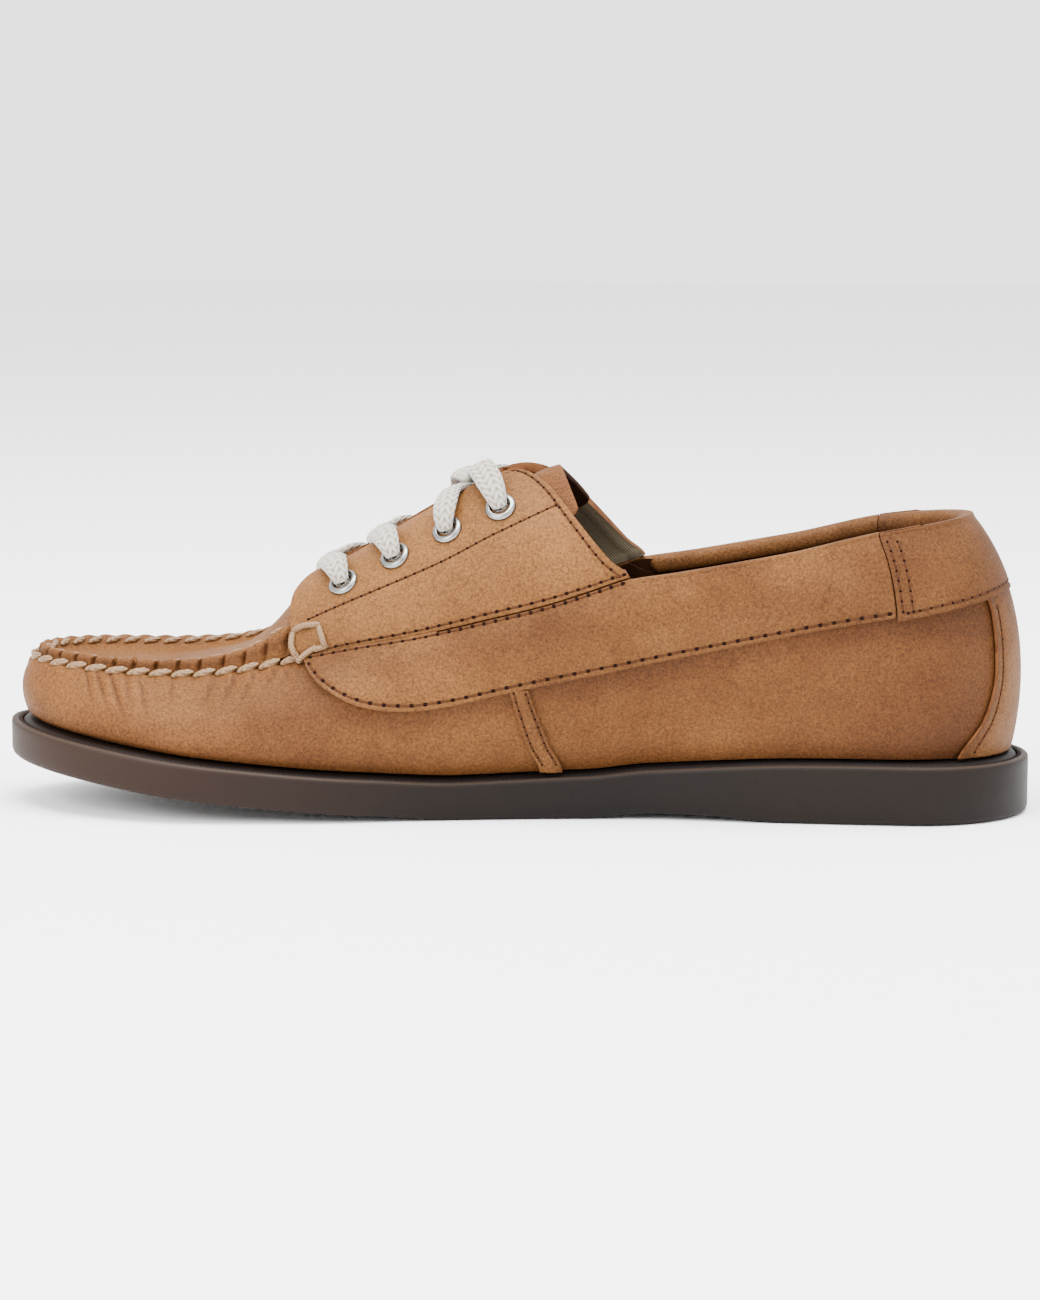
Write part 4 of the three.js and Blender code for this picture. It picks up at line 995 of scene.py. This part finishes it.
def rolled(turn, height, face, lift, turned_in, keep, low_z, groove):
    """A leather from a low line to a top edge, which rolls in over the collar where keep is 1."""
    upward = np.clip(face / FACE_SHARE, 0, 1)
    over = np.clip((face - FACE_SHARE) / (1 - FACE_SHARE), 0, 1)
    first = roll_up(0.0) * keep + tuck_up(0.0) * (1 - keep)
    eased = np.where(upward < 0.2, upward * 0.55, 0.11 + (upward - 0.2) * 0.89 / 0.8)
    z = low_z + (height + first - low_z) * eased
    rise = rise_at(turn, z)
    point, normal = with_normal(wall, turn, rise)
    flat_out = unit(normal * [1, 1, 0.15])
    out = np.where(face <= FACE_SHARE, lift, (roll_out(over) - 1.7 + lift) * keep + (tuck_out(over) - 1.7 + lift) * (1 - keep))
    up = np.where(face <= FACE_SHARE, 0.0, roll_up(over) * keep + tuck_up(over) * (1 - keep) - first)
    sink = groove * bell(z - low_z, 1.6, 0.7) * (face <= FACE_SHARE)
    point = point + np.where((face <= FACE_SHARE)[:, None], normal, flat_out) * (out - sink)[:, None]
    point[:, 2] += up
    return point, np.where((over > 0.5)[:, None], -flat_out * turned_in, normal)


def panel_shape(side):
    def shape(u, v):
        x = 38.0 + (206.0 - 38.0) * (1 - (1 - u) ** 1.35)
        low_z = panel_low(x)
        front_x = x
        height = np.where(x < 113.2, top_line(x), seam_height(x) - 0.15)
        height = np.maximum(height, low_z + 0.4)
        start = np.maximum(tab_front(np.clip(height * 0.5 + low_z * 0.5, 58.6, 85)), 0)
        level = np.clip(v / FACE_SHARE, 0, 1)
        z_here = low_z + (height - low_z) * level
        shifted = tab_front(np.clip(z_here, 58.6, 85)) - 38.6 + 0.35
        x_here = x + (shifted + 0.6) * np.clip(1 - (x - 38.0) / 30.0, 0, 1)
        turn, _ = wall_turn(side, x_here, np.clip(z_here, low_z, None))
        keep = 1 - smooth(110.5, 114.5, x)
        return rolled(turn, height, v, PANEL_LIFT, 1, keep, low_z, 0.28)
    return shape


# Painted shading of the side panels. Painted shade: a little all over, along the low edge, in a patch near the top, on
# the turned-in edge and towards the heel. Painted light: near the top at the back and in a patch in the middle.
def panel_painted_shading(points, u, v):
    level = np.clip(v / FACE_SHARE, 0, 1)
    x = points[:, 0]
    return (
        0.14 + 0.3 * bell(level, 0.0, 0.06) - 0.3 * bell(level, 0.85, 0.22) * (x < 125)
        - 0.25 * bell(x, 175, 25) * bell(level, 0.35, 0.25) + 0.35 * bell(x, 135, 25) * bell(level, 0.75, 0.3)
        + 0.5 * smooth(0.9, 1.0, v) + 0.35 * (1 - smooth(45, 130, x))
    )


for word, side in (("inner", 1), ("outer", -1)):
    panel = sheet_grid("side_panel_" + word + "_leather", 220, 72, panel_shape(side), [PANEL_TAN, BROWN_LINING, CUT_EDGE],
                       tone=panel_painted_shading)
    thicken(panel, 1.0, 0, 2, 0.3)
    finished(panel, ["side_panel_" + word])


# Collar tab behind the heel, with the same turned edge
def tab_shape(u, v):
    level = np.clip(v / FACE_SHARE, 0, 1)
    sign = np.where(u >= 0.5, 1.0, -1.0)
    reach = np.abs(u - 0.5) * 2
    z_guess = 58.65 + (82 - 58.65) * level
    turn_front, _ = wall_turn(1, tab_front(z_guess), z_guess)
    turn = sign * reach * turn_front
    x = wall(turn, np.full(turn.shape, 0.8))[:, 0]
    return rolled(turn, top_line(x), v, TAB_LIFT, 1, np.ones_like(u), tab_low(x), 0.28)


# Painted shade on the heel tab: darker all over, more along its low edge, its front ends and its turned-in edge.
def tab_painted_shading(points, u, v):
    level = np.clip(v / FACE_SHARE, 0, 1)
    return 0.45 + 0.3 * bell(level, 0.0, 0.08) + 0.25 * bell(np.abs(u - 0.5) * 2, 1.0, 0.08) + 0.5 * smooth(0.9, 1.0, v)


heel_tab = sheet_grid("heel_tab_leather", 160, 64, tab_shape, [PANEL_TAN, BROWN_LINING, CUT_EDGE], tone=tab_painted_shading)
thicken(heel_tab, 1.2, 0, 2, 0.35)
finished(heel_tab, ["heel_tab"])


# Strip over the back seam and the straps over the side seams
def strip_shape(u, v):
    sign = np.where(u >= 0.5, 1.0, -1.0)
    reach = np.abs(u - 0.5) * 2
    back_x = wall(np.zeros_like(u), np.full(u.shape, 0.7))[:, 0]
    low = side_height(0.06) + RIM_STEP + SEAT_GAP + 0.4
    z = low + (64.2 - low) * v
    turn_front, _ = wall_turn(1, strip_front(z), z)
    turn = sign * reach * turn_front
    z = low + (tab_low(wall(turn, np.full(turn.shape, 0.7))[:, 0]) + 1.0 - low) * v
    rise = rise_at(turn, z)
    point, normal = with_normal(wall, turn, rise)
    edge = 0.25 * bell(reach, 0.86, 0.05)
    return point + normal * (STRAP_LIFT - edge)[:, None], normal


# Painted shade on the back strip: darker all over and more along its side edges.
def strip_painted_shading(points, u, v):
    return 0.5 * bell(np.abs(u - 0.5) * 2, 1.0, 0.12) + 0.2


back_strip = sheet_grid("back_strip_leather", 80, 60, strip_shape, [PANEL_TAN, BROWN_LINING, CUT_EDGE], tone=strip_painted_shading)
thicken(back_strip, 1.0, 0, 2, 0.3)
finished(back_strip, ["back_strip"])


def strap_shape(side):
    def shape(u, v):
        z = 13.5 + (37.8 - 13.5) * v
        x = strap_back(z) + (strap_front(z) - strap_back(z)) * u
        crown = 0.3 * np.sin(math.pi * u) - 0.2 * bell(u, 0.2, 0.08) - 0.2 * bell(u, 0.8, 0.08)
        return on_wall(side, x, z, STRAP_LIFT + crown)
    return shape


# Painted shade on the straps: darker all over and more at their back edge.
for word, side in (("inner", 1), ("outer", -1)):
    strap = sheet_grid("side_strap_" + word + "_leather", 24, 60, strap_shape(side), [PANEL_TAN, BROWN_LINING, CUT_EDGE],
                       tone=lambda points, u, v: 0.35 + 0.3 * bell(u, 0.0, 0.15))
    thicken(strap, 1.0, 0, 2, 0.25)
    finished(strap, ["side_strap_" + word])


# Quarters: from the seam line up to the throat, round at the front and at the back
def climbed(v, half):
    """How far in a share of the way from the seam up to the throat's edge lies."""
    return 1 - np.cos(np.clip(v, 0, 1) * np.arccos(THROAT_HALF / half))


def quarter_bound(side, curve, inward, low, high):
    low = np.full(inward.shape, float(low))
    high = np.full(inward.shape, float(high))
    for _ in range(30):
        middle = (low + high) / 2
        z = top(top_turn(side, middle, inward), inward)[:, 2]
        beyond = middle > curve(z)
        high = np.where(beyond, middle, high)
        low = np.where(beyond, low, middle)
    return (low + high) / 2


def quarter_place(side, u, v):
    inward = climbed(v, 34.0)
    rear = quarter_bound(side, quarter_rear, inward, 100, 160)
    front = quarter_bound(side, quarter_front, inward, 190, 225)
    round_back = np.clip((v - 0.62) / 0.38, 0, 1)
    rear = rear + 9.0 * (1 - np.sqrt(1 - round_back**2 * 0.999))
    round_front = np.clip((v - 0.6) / 0.4, 0, 1)
    front = front - 4.5 * (1 - np.sqrt(1 - round_front**2 * 0.999))
    x = rear + (front - rear) * u
    inward = climbed(v, last["inner" if side > 0 else "outer"](x / SOLE_LENGTH))
    return x, inward


def quarter_shape(side):
    def shape(u, v):
        x, inward = quarter_place(side, u, v)
        edge = 0.25 * (bell(v, 0.03, 0.012) + bell(u, 0.03, 0.012) * (v > 0.02))
        height = top(top_turn(side, x, inward), inward)[:, 2]
        edge = edge + 0.25 * bell(height, facing_row(x), 0.7)
        stand = 1.1 * smooth(198, 210, x) * smooth(0.55, 0.85, v)
        return on_top(side, x, inward, PANEL_LIFT - edge + stand)
    return shape


# Painted shading of the quarters: painted light over all, rising towards the throat; painted shade along the low and
# rear edges and in a patch near the rear top.
def quarter_painted_shading(points, u, v):
    return (
        0.3 * bell(v, 0.0, 0.03) + 0.25 * bell(u, 0.0, 0.04) - 0.45 - 0.3 * smooth(0.3, 0.9, v)
        + 0.3 * bell(points[:, 0], 150, 14) * smooth(0.5, 1.0, v)
    )


EYELET_PLACES = {}
for word, side in (("inner", 1), ("outer", -1)):
    quarter = sheet_grid("quarter_" + word + "_leather", 170, 72, quarter_shape(side), [PANEL_TAN, TEXTILE, CUT_EDGE],
                         tone=quarter_painted_shading)
    thicken(quarter, 3.0, 1, 2, 0.4)
    finished(quarter, ["quarter_" + word])
    for number in range(1, 5):
        x = FIRST_EYELET - EYELET_PITCH * (number - 1)
        inward = 1 - EYELET_SPREAD / last[word](x / SOLE_LENGTH)
        point, normal = on_top(side, np.array([x]), np.array([inward]), 0.0)
        EYELET_PLACES[word, number] = (point[0], normal[0])

# Eyelets: a rolled ring with a dark throat
RING = [(2.45, -4.2), (2.45, 1.2), (2.5, 2.0), (2.7, 2.55), (3.2, 2.85), (3.9, 2.75), (4.4, 2.3), (4.55, 1.75),
        (4.4, 1.45), (3.1, 1.5), (3.0, -4.2)]
LACE_AXIS = np.array([1.0, 0.0, 0.0])


def eyelet_shape(place):
    point, normal = place
    first = unit(np.cross(normal, LACE_AXIS))
    second = np.cross(normal, first)
    radius = Curve([(i / 11, p[0]) for i, p in enumerate(RING + RING[:1])])
    level = Curve([(i / 11, p[1]) for i, p in enumerate(RING + RING[:1])])

    def shape(u, v):
        turn = u * 2 * math.pi
        spoke = np.cos(turn)[:, None] * first + np.sin(turn)[:, None] * second
        out = np.where(radius(v) > 3.4, 1.0, -1.0)[:, None] * spoke + normal * 0.8
        return point + spoke * radius(v)[:, None] + normal * level(v)[:, None], out
    return shape


for (word, number), place in EYELET_PLACES.items():
    eyelet = sheet_grid("eyelet_" + word + "_" + str(number) + "_ring", 40, 33, eyelet_shape(place), [NICKEL])
    weld(eyelet)
    edit(eyelet, lambda: bpy.ops.mesh.normals_make_consistent(inside=False))
    finished(eyelet, ["eyelet_" + word + "_" + str(number)])

# Laces: out of one eyelet, over the throat and into the eyelet opposite
LACE_RUN = [(1, -5.5, 0.0), (1, -2.5, 0.0), (1, 0.4, 0.1), (1.0, 2.4, 0.35), (0.9, 3.9, 0.75), (0.74, 3.5, 1.0),
            (0.58, 2.7, 1.0), (0.43, 2.2, 1.0), (0.28, 0.5, 1.0), (0.14, -0.9, 1.0), (0, -1.4, 1.0)]


def lace_path(inner_number, outer_number, rise, lean):
    start = FIRST_EYELET - EYELET_PITCH * (inner_number - 1)
    end = FIRST_EYELET - EYELET_PITCH * (outer_number - 1)
    stations = []
    for side, ends in ((1, LACE_RUN), (-1, LACE_RUN[::-1][1:])):
        for spread, lift, open_ in ends:
            pull = lean * (1 + 0.8 * smooth(0.3, -0.4, side * spread))
            x = (start + end) / 2 * (1 - spread) + (start if side > 0 else end) * spread + pull * smooth(1.05, 0.35, spread)
            half = last["inner" if side > 0 else "outer"](x / SOLE_LENGTH)
            inward = 1 - EYELET_SPREAD * spread / half
            point, normal = on_top(side, np.array([x]), np.array([min(inward, 0.99)]), PANEL_LIFT - 0.6)
            normal = normal[0]
            if side < 0:
                lift = min(lift, 3.1 if spread > 0.7 else 2.2)
            stations.append((point[0] + normal * (lift + rise * smooth(0.9, 0.4, spread)), normal, open_))
    path = np.array([s[0] for s in stations])
    normals = np.array([s[1] for s in stations])
    opening = np.array([s[2] for s in stations])
    steps = np.linspace(0, len(path) - 1, 90)
    index = np.arange(len(path))
    smooth_path = np.stack([Curve(list(zip(index, path[:, i])))(steps) for i in range(3)], axis=-1)
    for _ in range(3):
        smooth_path[1:-1] = (smooth_path[:-2] + 2 * smooth_path[1:-1] + smooth_path[2:]) / 4
    lifts = unit(np.stack([np.interp(steps, index, normals[:, i]) for i in range(3)], axis=-1))
    tangent = unit(np.gradient(smooth_path, axis=0))
    across = unit(np.cross(tangent, lifts))
    lift = unit(np.cross(across, tangent))
    width = np.interp(steps, index, opening)
    return smooth_path, across, lift, width


LACES = {
    "lace_bar_1": [(1, 1, 0.0, 5.0)],
    "lace_bar_2": [(2, 2, 0.0, 5.0)],
    "lace_cross": [(3, 4, 0.0, 4.0), (4, 3, 2.6, 1.0)],
}
for node, runs in LACES.items():
    for number, (inner_number, outer_number, rise, lean) in enumerate(runs):
        path, across, lift, width = lace_path(inner_number, outer_number, rise, lean)
        half_width = (3.4 + (LACE_WIDTH - 3.4) * width) / 2
        half_thick = (3.0 + (LACE_THICKNESS - 3.0) * width) / 2
        length = np.linalg.norm(np.diff(path, axis=0), axis=1).sum()
        lace = tube(node + "_run_" + str(number + 1), path, across, lift, half_width, half_thick, 28, [LACE],
                    length / 3.1, 5)
        finished(lace, [node] if number == len(runs) - 1 else [])

# Tongue: soft leather under the throat, standing up a little at its end
TONGUE_HALF = Curve([(0.43, 24.5), (0.47, 25.5), (0.5, 25.5), (0.6, 24.0), (0.7, 22.0), (0.745, 19.0)])


def tongue_shape(u, v):
    across = (v - 0.5) * 2
    end = 0.434 + 0.024 * (1 - np.abs(across) ** 1.6)
    share = 0.741 - (0.741 - end) * u
    x = share * SOLE_LENGTH
    middle = BALL_WIDTH * last["middle"](THROAT_FRONT / SOLE_LENGTH)
    corner = np.clip((u - 0.95) / 0.05, 0, 1)
    offset = across * TONGUE_HALF(share) * (1 - 0.1 * (1 - np.sqrt(1 - corner**2 * 0.999)))
    side = np.where(middle + offset >= BALL_WIDTH * last["middle"](share), 1.0, -1.0)
    width = np.where(side > 0, last["inner"](share), last["outer"](share))
    centre = BALL_WIDTH * last["middle"](share)
    inward = np.clip(1 - np.abs(middle + offset - centre) / width, 0.02, 0.995)
    point, normal = on_top(side, x, inward, 0.0)
    stand = 3.6 * smooth(0.84, 1.0, u) * bell(v, 0.6, 0.36)
    ripple = 0.25 * np.sin(v * 9 + 1.3) * smooth(0.8, 1.0, u)
    down = -4.2 + 0.15 * np.sin(u * 14) + ripple
    point = point + normal * down[:, None]
    point[:, 2] += stand
    return point, normal


# Painted shading of the tongue: painted light on its raised back end and painted shade right along that edge.
tongue = sheet_grid("tongue_leather", 110, 48, tongue_shape, [TONGUE_TAN, SUEDE, CUT_EDGE],
                    tone=lambda points, u, v: 0.25 * bell(u, 1.0, 0.05) - 0.3 * smooth(0.8, 0.95, u))
thicken(tongue, 1.7, 1, 1, 0.35)
finished(tongue, ["tongue"])


# Lining of the heel and the waist below the collar's turned edge
def lining_shape(u, v):
    reach = math.acos(1 - 2 * 0.42)
    turn = (u - 0.5) * 2 * reach
    x = wall(turn, np.full(turn.shape, 0.9))[:, 0]
    high = rise_at(turn, np.where(x < 113, top_line(np.minimum(x, 113)) - 4.2, seam_height(x) + 0.0))
    rise = 0.04 + (high - 0.04) * v
    point, normal = with_normal(wall, turn, rise)
    return point - normal * (WALL + 0.35), -normal


lining = sheet_grid("heel_lining", 120, 30, lining_shape, [BROWN_LINING], outward=True)
thicken(lining, -0.0 + 0.3, 0, 0, 0)
finished(lining, [])


# Sole: one closed body, with a raised rim, a ledge for the upper and channels across its tread
# Rows of the sole's loop: inset, surface, height and painted shading. The shading is a painted highlight on the rim's
# rounded top and painted shade in the groove inside the rim.
LOOP_SIDE = [
    (1.6, "tread", 0.0, 0.0), (0.9, "tread", 0.15, 0.0), (0.35, "tread", 0.6, 0.0), (0.0, "tread", 1.6, 0.0),
    (0.0, "side", -6.0, 0.0), (0.0, "side", -3.0, 0.0), (0.0, "side", -1.2, 0.0), (0.12, "side", -0.45, 0.2),
    (0.5, "side", -0.05, 0.8), (1.1, "side", 0.12, 1.0), (1.8, "side", 0.15, 0.9), (2.2, "side", -0.1, 0.0),
    (2.5, "side", -0.9, -0.9), (3.1, "side", -1.0, -1.0), (3.6, "side", -0.2, -0.9), (4.4, "side", 0.6, -0.6),
    (6.0, "side", 0.9, -0.5),
]
BOTTOM_STEPS = 56
DECK_STEPS = 12
STATIONS = 420
LOOP = BOTTOM_STEPS + DECK_STEPS + 2 * len(LOOP_SIDE)


def sole_point(turn, inset, kind, up):
    small = 1e-3

    def outline(value):
        at, inner = turned(value)
        width = sole_half(at) * closing(SOLE_ENDS, inner, at)
        return np.stack([at * SOLE_LENGTH, BALL_WIDTH * plan["middle"](at) + np.where(inner, 1, -1) * width], axis=-1)

    here = outline(turn)
    tangent = unit(outline(turn + small) - outline(turn - small))
    x = here[..., 0] + tangent[..., 1] * inset
    y = here[..., 1] - tangent[..., 0] * inset
    share = np.clip(x / SOLE_LENGTH, 0, 1)
    base = tread_height(share) if kind == "tread" else side_height(share)
    return np.stack([x, y, base + up], axis=-1)


def make_sole():
    turn = np.linspace(1e-4, math.pi - 1e-4, STATIONS + 1)
    right = [sole_point(turn, inset, kind, up) for inset, kind, up, _ in LOOP_SIDE]
    left = [sole_point(2 * math.pi - turn, inset, kind, up) for inset, kind, up, _ in LOOP_SIDE]
    rim_painted_shading = [tone for *_, tone in LOOP_SIDE]
    rows, sole_painted_shading = [], []
    for step in range(BOTTOM_STEPS):
        share = step / BOTTOM_STEPS
        rows.append(left[0] + (right[0] - left[0]) * share)
        sole_painted_shading.append(0.0)
    rows += right
    sole_painted_shading += rim_painted_shading
    # The deck inside the rim gets painted shade.
    for step in range(1, DECK_STEPS):
        share = step / DECK_STEPS
        rows.append(right[-1] + (left[-1] - right[-1]) * share)
        sole_painted_shading.append(-0.5)
    rows += left[::-1][:-1]
    sole_painted_shading += rim_painted_shading[::-1][:-1]
    loop = np.stack(rows, axis=1)
    bottom = loop[:, :BOTTOM_STEPS]
    share = bottom[..., 0] / SOLE_LENGTH
    margin = np.minimum(np.arange(BOTTOM_STEPS), BOTTOM_STEPS - np.arange(BOTTOM_STEPS)) / BOTTOM_STEPS
    half = (right[0][:, 1] - left[0][:, 1])[:, None] / 2
    inside = smooth(5.5, 7.0, margin[None, :] * 2 * half)
    cross = (np.arange(BOTTOM_STEPS) / BOTTOM_STEPS)[None, :]
    sideways = (cross - 0.5) * 2 * half
    zigzag = 2.1 * (2 * np.abs(np.mod(sideways / 16, 1.0) - 0.5) * 2 - 1)
    phase = np.mod((bottom[..., 0] + zigzag - 16.3) / TREAD_PITCH + 0.5, 1.0) - 0.5
    cut = 1 - smooth(0.9, 1.5, np.abs(phase) * TREAD_PITCH)
    fine_phase = np.mod((bottom[..., 0] + zigzag - 16.3) / (TREAD_PITCH / 4) + 0.5, 1.0) - 0.5
    fine_cut = 1 - smooth(0.15, 0.5, np.abs(fine_phase) * TREAD_PITCH / 4)
    areas = smooth(0.04, 0.05, share) * (1 - smooth(0.235, 0.245, share)) + smooth(0.43, 0.44, share) * (
        1 - smooth(0.9, 0.91, share)
    )
    loop[:, :BOTTOM_STEPS, 2] += inside * areas * np.maximum(TREAD_DEPTH * cut, 0.35 * fine_cut)
    count = loop.shape[1]

    def shape(u, v):
        station = np.round(u * STATIONS).astype(int)
        place = np.mod(np.round(v * count).astype(int), count)
        point = loop[station, place]
        middle = loop[station].mean(axis=1)
        return point, unit(point - middle)

    def tone(points, u, v):
        place = np.mod(np.round(v * count).astype(int), count)
        return np.array(sole_painted_shading)[place]

    sole = sheet_grid("sole", STATIONS, count, shape, [RUBBER], tone=tone)
    weld(sole)
    return finished(sole, ["outsole"])


make_sole()

# Fine moulded ribs in the groove of the rim
RIB_PITCH = 1.45
rib_turn = np.linspace(0, 2 * math.pi, 1801)
rib_line = sole_point(rib_turn, 2.75, "side", -0.35)
rib_out = np.tile([0.0, 0.0, 1.0], (len(rib_turn), 1))
middle, along, out = spaced(rib_line, rib_out, RIB_PITCH)
across = np.cross(out, along)
ribs = copies("rim_ribs", THREAD, [(m, a * 0.42, c * 0.75, n * 0.55) for m, a, c, n in zip(middle, along, across, out)],
              RUBBER)
finished(ribs, [])


# Sock on the insole board
def insole_shape(u, v):
    turn = 1e-3 + (math.pi - 2e-3) * u
    loops = [(5.8, 0.35), (5.6, 2.6), (6.3, 3.3), (7.2, 3.3)]
    right = [sole_point(turn, inset + 1.2, "side", RIM_STEP + up) for inset, up in loops]
    left = [sole_point(2 * math.pi - turn, inset + 1.2, "side", RIM_STEP + up) for inset, up in loops]
    rows = right + [right[-1] + (left[-1] - right[-1]) * s for s in np.linspace(0, 1, 14)[1:-1]]
    rows += left[::-1] + [left[0] + (right[0] - left[0]) * s for s in np.linspace(0, 1, 6)[1:-1]]
    stack = np.stack(rows, axis=1)
    place = np.mod(np.round(v * len(rows)).astype(int), len(rows))
    point = stack[np.arange(len(u)), place]
    return point, unit(point - stack.mean(axis=1))


insole = sheet_grid("sock", 120, 24, insole_shape, [SOCK])
weld(insole)
finished(insole, ["insole"])


# Machine stitch rows
def steps_between(low, high, step=1.0):
    return np.linspace(low, high, max(int(abs(high - low) / step), 8))


for word, side in (("inner", 1), ("outer", -1)):
    x = steps_between(40.5, 204.6)
    z = panel_low(x) + 1.6
    points, normals = on_wall(side, x, z, PANEL_LIFT - 0.22)
    machine_row("panel_row_" + word, points, normals, 3.9)
    x = steps_between(115, 204, 1.0)
    points, normals = on_wall(side, x, seam_height(x) - 1.7, PANEL_LIFT)
    machine_row("joint_row_low_" + word, points, normals, 3.4, 0.66)
    u = np.linspace(0.01, 0.985, 120)
    x, inward = quarter_place(side, u, np.full(u.shape, 0.03))
    points, normals = on_top(side, x, inward, PANEL_LIFT - 0.2)
    machine_row("joint_row_high_" + word, points, normals, 3.4, 0.66)
    x = np.linspace(134.6, 206.0, 120)
    points, normals = on_surface(side, x, facing_row(x), PANEL_LIFT - 0.22)
    machine_row("facing_row_" + word, points, normals, 2.8, 0.5)
    v = np.linspace(0.03, 0.97, 90)
    x, inward = quarter_place(side, 0.024 + 0 * v, v)
    end = np.linspace(0.024, 0.14, 20)
    x2, inward2 = quarter_place(side, end, np.full(end.shape, 0.955))
    points, normals = on_top(side, np.concatenate([x, x2[2:]]), np.concatenate([inward, inward2[2:]]), PANEL_LIFT - 0.18)
    machine_row("quarter_edge_row_" + word, points, normals, 3.0, 0.52)
    for number, share in enumerate((0.2, 0.8)):
        z = np.linspace(16, 37, 40)
        x = strap_back(z) + (strap_front(z) - strap_back(z)) * share
        points, normals = on_wall(side, x, z, STRAP_LIFT + 0.05)
        machine_row("strap_row_" + str(number + 1) + "_" + word, points, normals, 2.6, 0.36)
    for number, back in enumerate((1.9, 4.6)):
        z = np.linspace(60.5, 79, 40)
        points, normals = on_wall(side, tab_front(z) - back, z, TAB_LIFT)
        machine_row("tab_row_" + str(number + 1) + "_" + word, points, normals, 2.9, 0.42)
    z = np.linspace(20, 61, 60)
    turn_front, _ = wall_turn(side, strip_front(z), z)
    turn = turn_front * 0.86
    points, normals = lifted(wall, turn, rise_at(turn, z), STRAP_LIFT - 0.2)
    machine_row("strip_row_" + word, points, normals, 2.6, 0.38)
turn = np.linspace(-0.66, 0.66, 160)
x = wall(turn, np.full(turn.shape, 0.75))[:, 0]
points, normals = lifted(wall, turn, rise_at(turn, tab_low(x) + 1.6), TAB_LIFT - 0.2)
machine_row("tab_low_row", points, normals, 3.4, 0.45)


# Square knot of waxed thread at both ends of the hand-sewn seam
def strand_on_wall(name, side, corners, lift):
    x, z = (np.array(values, float) for values in zip(*corners))
    run = np.linspace(0, len(x) - 1, 26)
    index = np.arange(len(x))
    xs, zs = np.interp(run, index, x), np.interp(run, index, z)
    bow = np.sin(np.linspace(0, math.pi, 26)) ** 0.6
    points, normals = on_surface(side, xs, zs, lift + 0.55 * bow - 0.8 * (1 - bow))
    tangent = unit(np.gradient(points, axis=0))
    across = unit(np.cross(tangent, normals))
    up = np.cross(across, tangent)
    thick = np.full(26, 0.85)
    piece = tube(name, points, across, up, thick * 1.1, thick, 12, [WAXED], 3, 1)
    finished(piece, [])


KNOT = {
    "top": [(209.2, 51.6), (205.7, 53.0), (201.8, 54.0)],
    "back": [(201.7, 53.4), (200.4, 50.6), (199.6, 47.8)],
    "low": [(199.6, 48.4), (203.2, 45.8), (207.4, 43.4)],
    "front": [(209.2, 51.2), (209.4, 47.8), (207.8, 44.0)],
}
for word, side in (("inner", 1), ("outer", -1)):
    for part, corners in KNOT.items():
        strand_on_wall("knot_" + part + "_" + word, side, corners, np.full(26, PANEL_LIFT + 0.2))

# Floor, light and camera
bpy.ops.object.select_all(action="DESELECT")
bpy.ops.mesh.primitive_plane_add(size=12, location=(0, 0, -0.0002))
floor = bpy.context.object
floor.name = "floor"
paper = Finish("white_paper", Roughness=0.9)
paper.feed(Base_Color=paper.mix(paper.noise(3, 2, 0.5), (0.90, 0.90, 0.90, 1), (0.92, 0.92, 0.92, 1)))
floor.data.materials.append(paper.material)

world_light = bpy.data.worlds.new("studio")
bpy.context.scene.world = world_light
world_light.use_nodes = True
world_light.node_tree.nodes["Background"].inputs[0].default_value = (1.0, 1.0, 1.0, 1)
world_light.node_tree.nodes["Background"].inputs[1].default_value = 2.6


def softbox(name, place, aim, size, power):
    light = bpy.data.lights.new(name, "AREA")
    light.shape = "RECTANGLE"
    light.size, light.size_y = size
    light.energy = power
    holder = bpy.data.objects.new(name, light)
    bpy.context.scene.collection.objects.link(holder)
    holder.location = place
    holder.rotation_euler = (Vector(aim) - Vector(place)).to_track_quat("-Z", "Y").to_euler()


softbox("ceiling_light", (-0.1, 0.2, 1.6), (0, 0, 0), (1.4, 1.0), 92)
softbox("front_light", (0.9, 1.3, 1.0), (0, 0, 0.03), (0.9, 0.9), 42)
softbox("side_light", (-1.2, 0.9, 0.8), (0, 0, 0.04), (0.8, 0.8), 7)

side_y = SIDE_SHIFT / 1000
camera_data = bpy.data.cameras.new("camera")
camera = bpy.data.objects.new("camera", camera_data)
bpy.context.scene.collection.objects.link(camera)
YAW = math.radians(6.0)
target = Vector((-0.0009 * math.cos(YAW), -0.0009 * math.sin(YAW) + side_y, 0.0402))
camera.location = target + Vector((-math.sin(YAW), math.cos(YAW), 0.136))
camera.rotation_euler = (target - camera.location).to_track_quat("-Z", "Y").to_euler()
camera_data.lens = 3452 * 36 / 1300
camera_data.sensor_width = 36
camera_data.shift_y = 13 / 1300
camera_data.clip_end = 50
bpy.context.scene.camera = camera
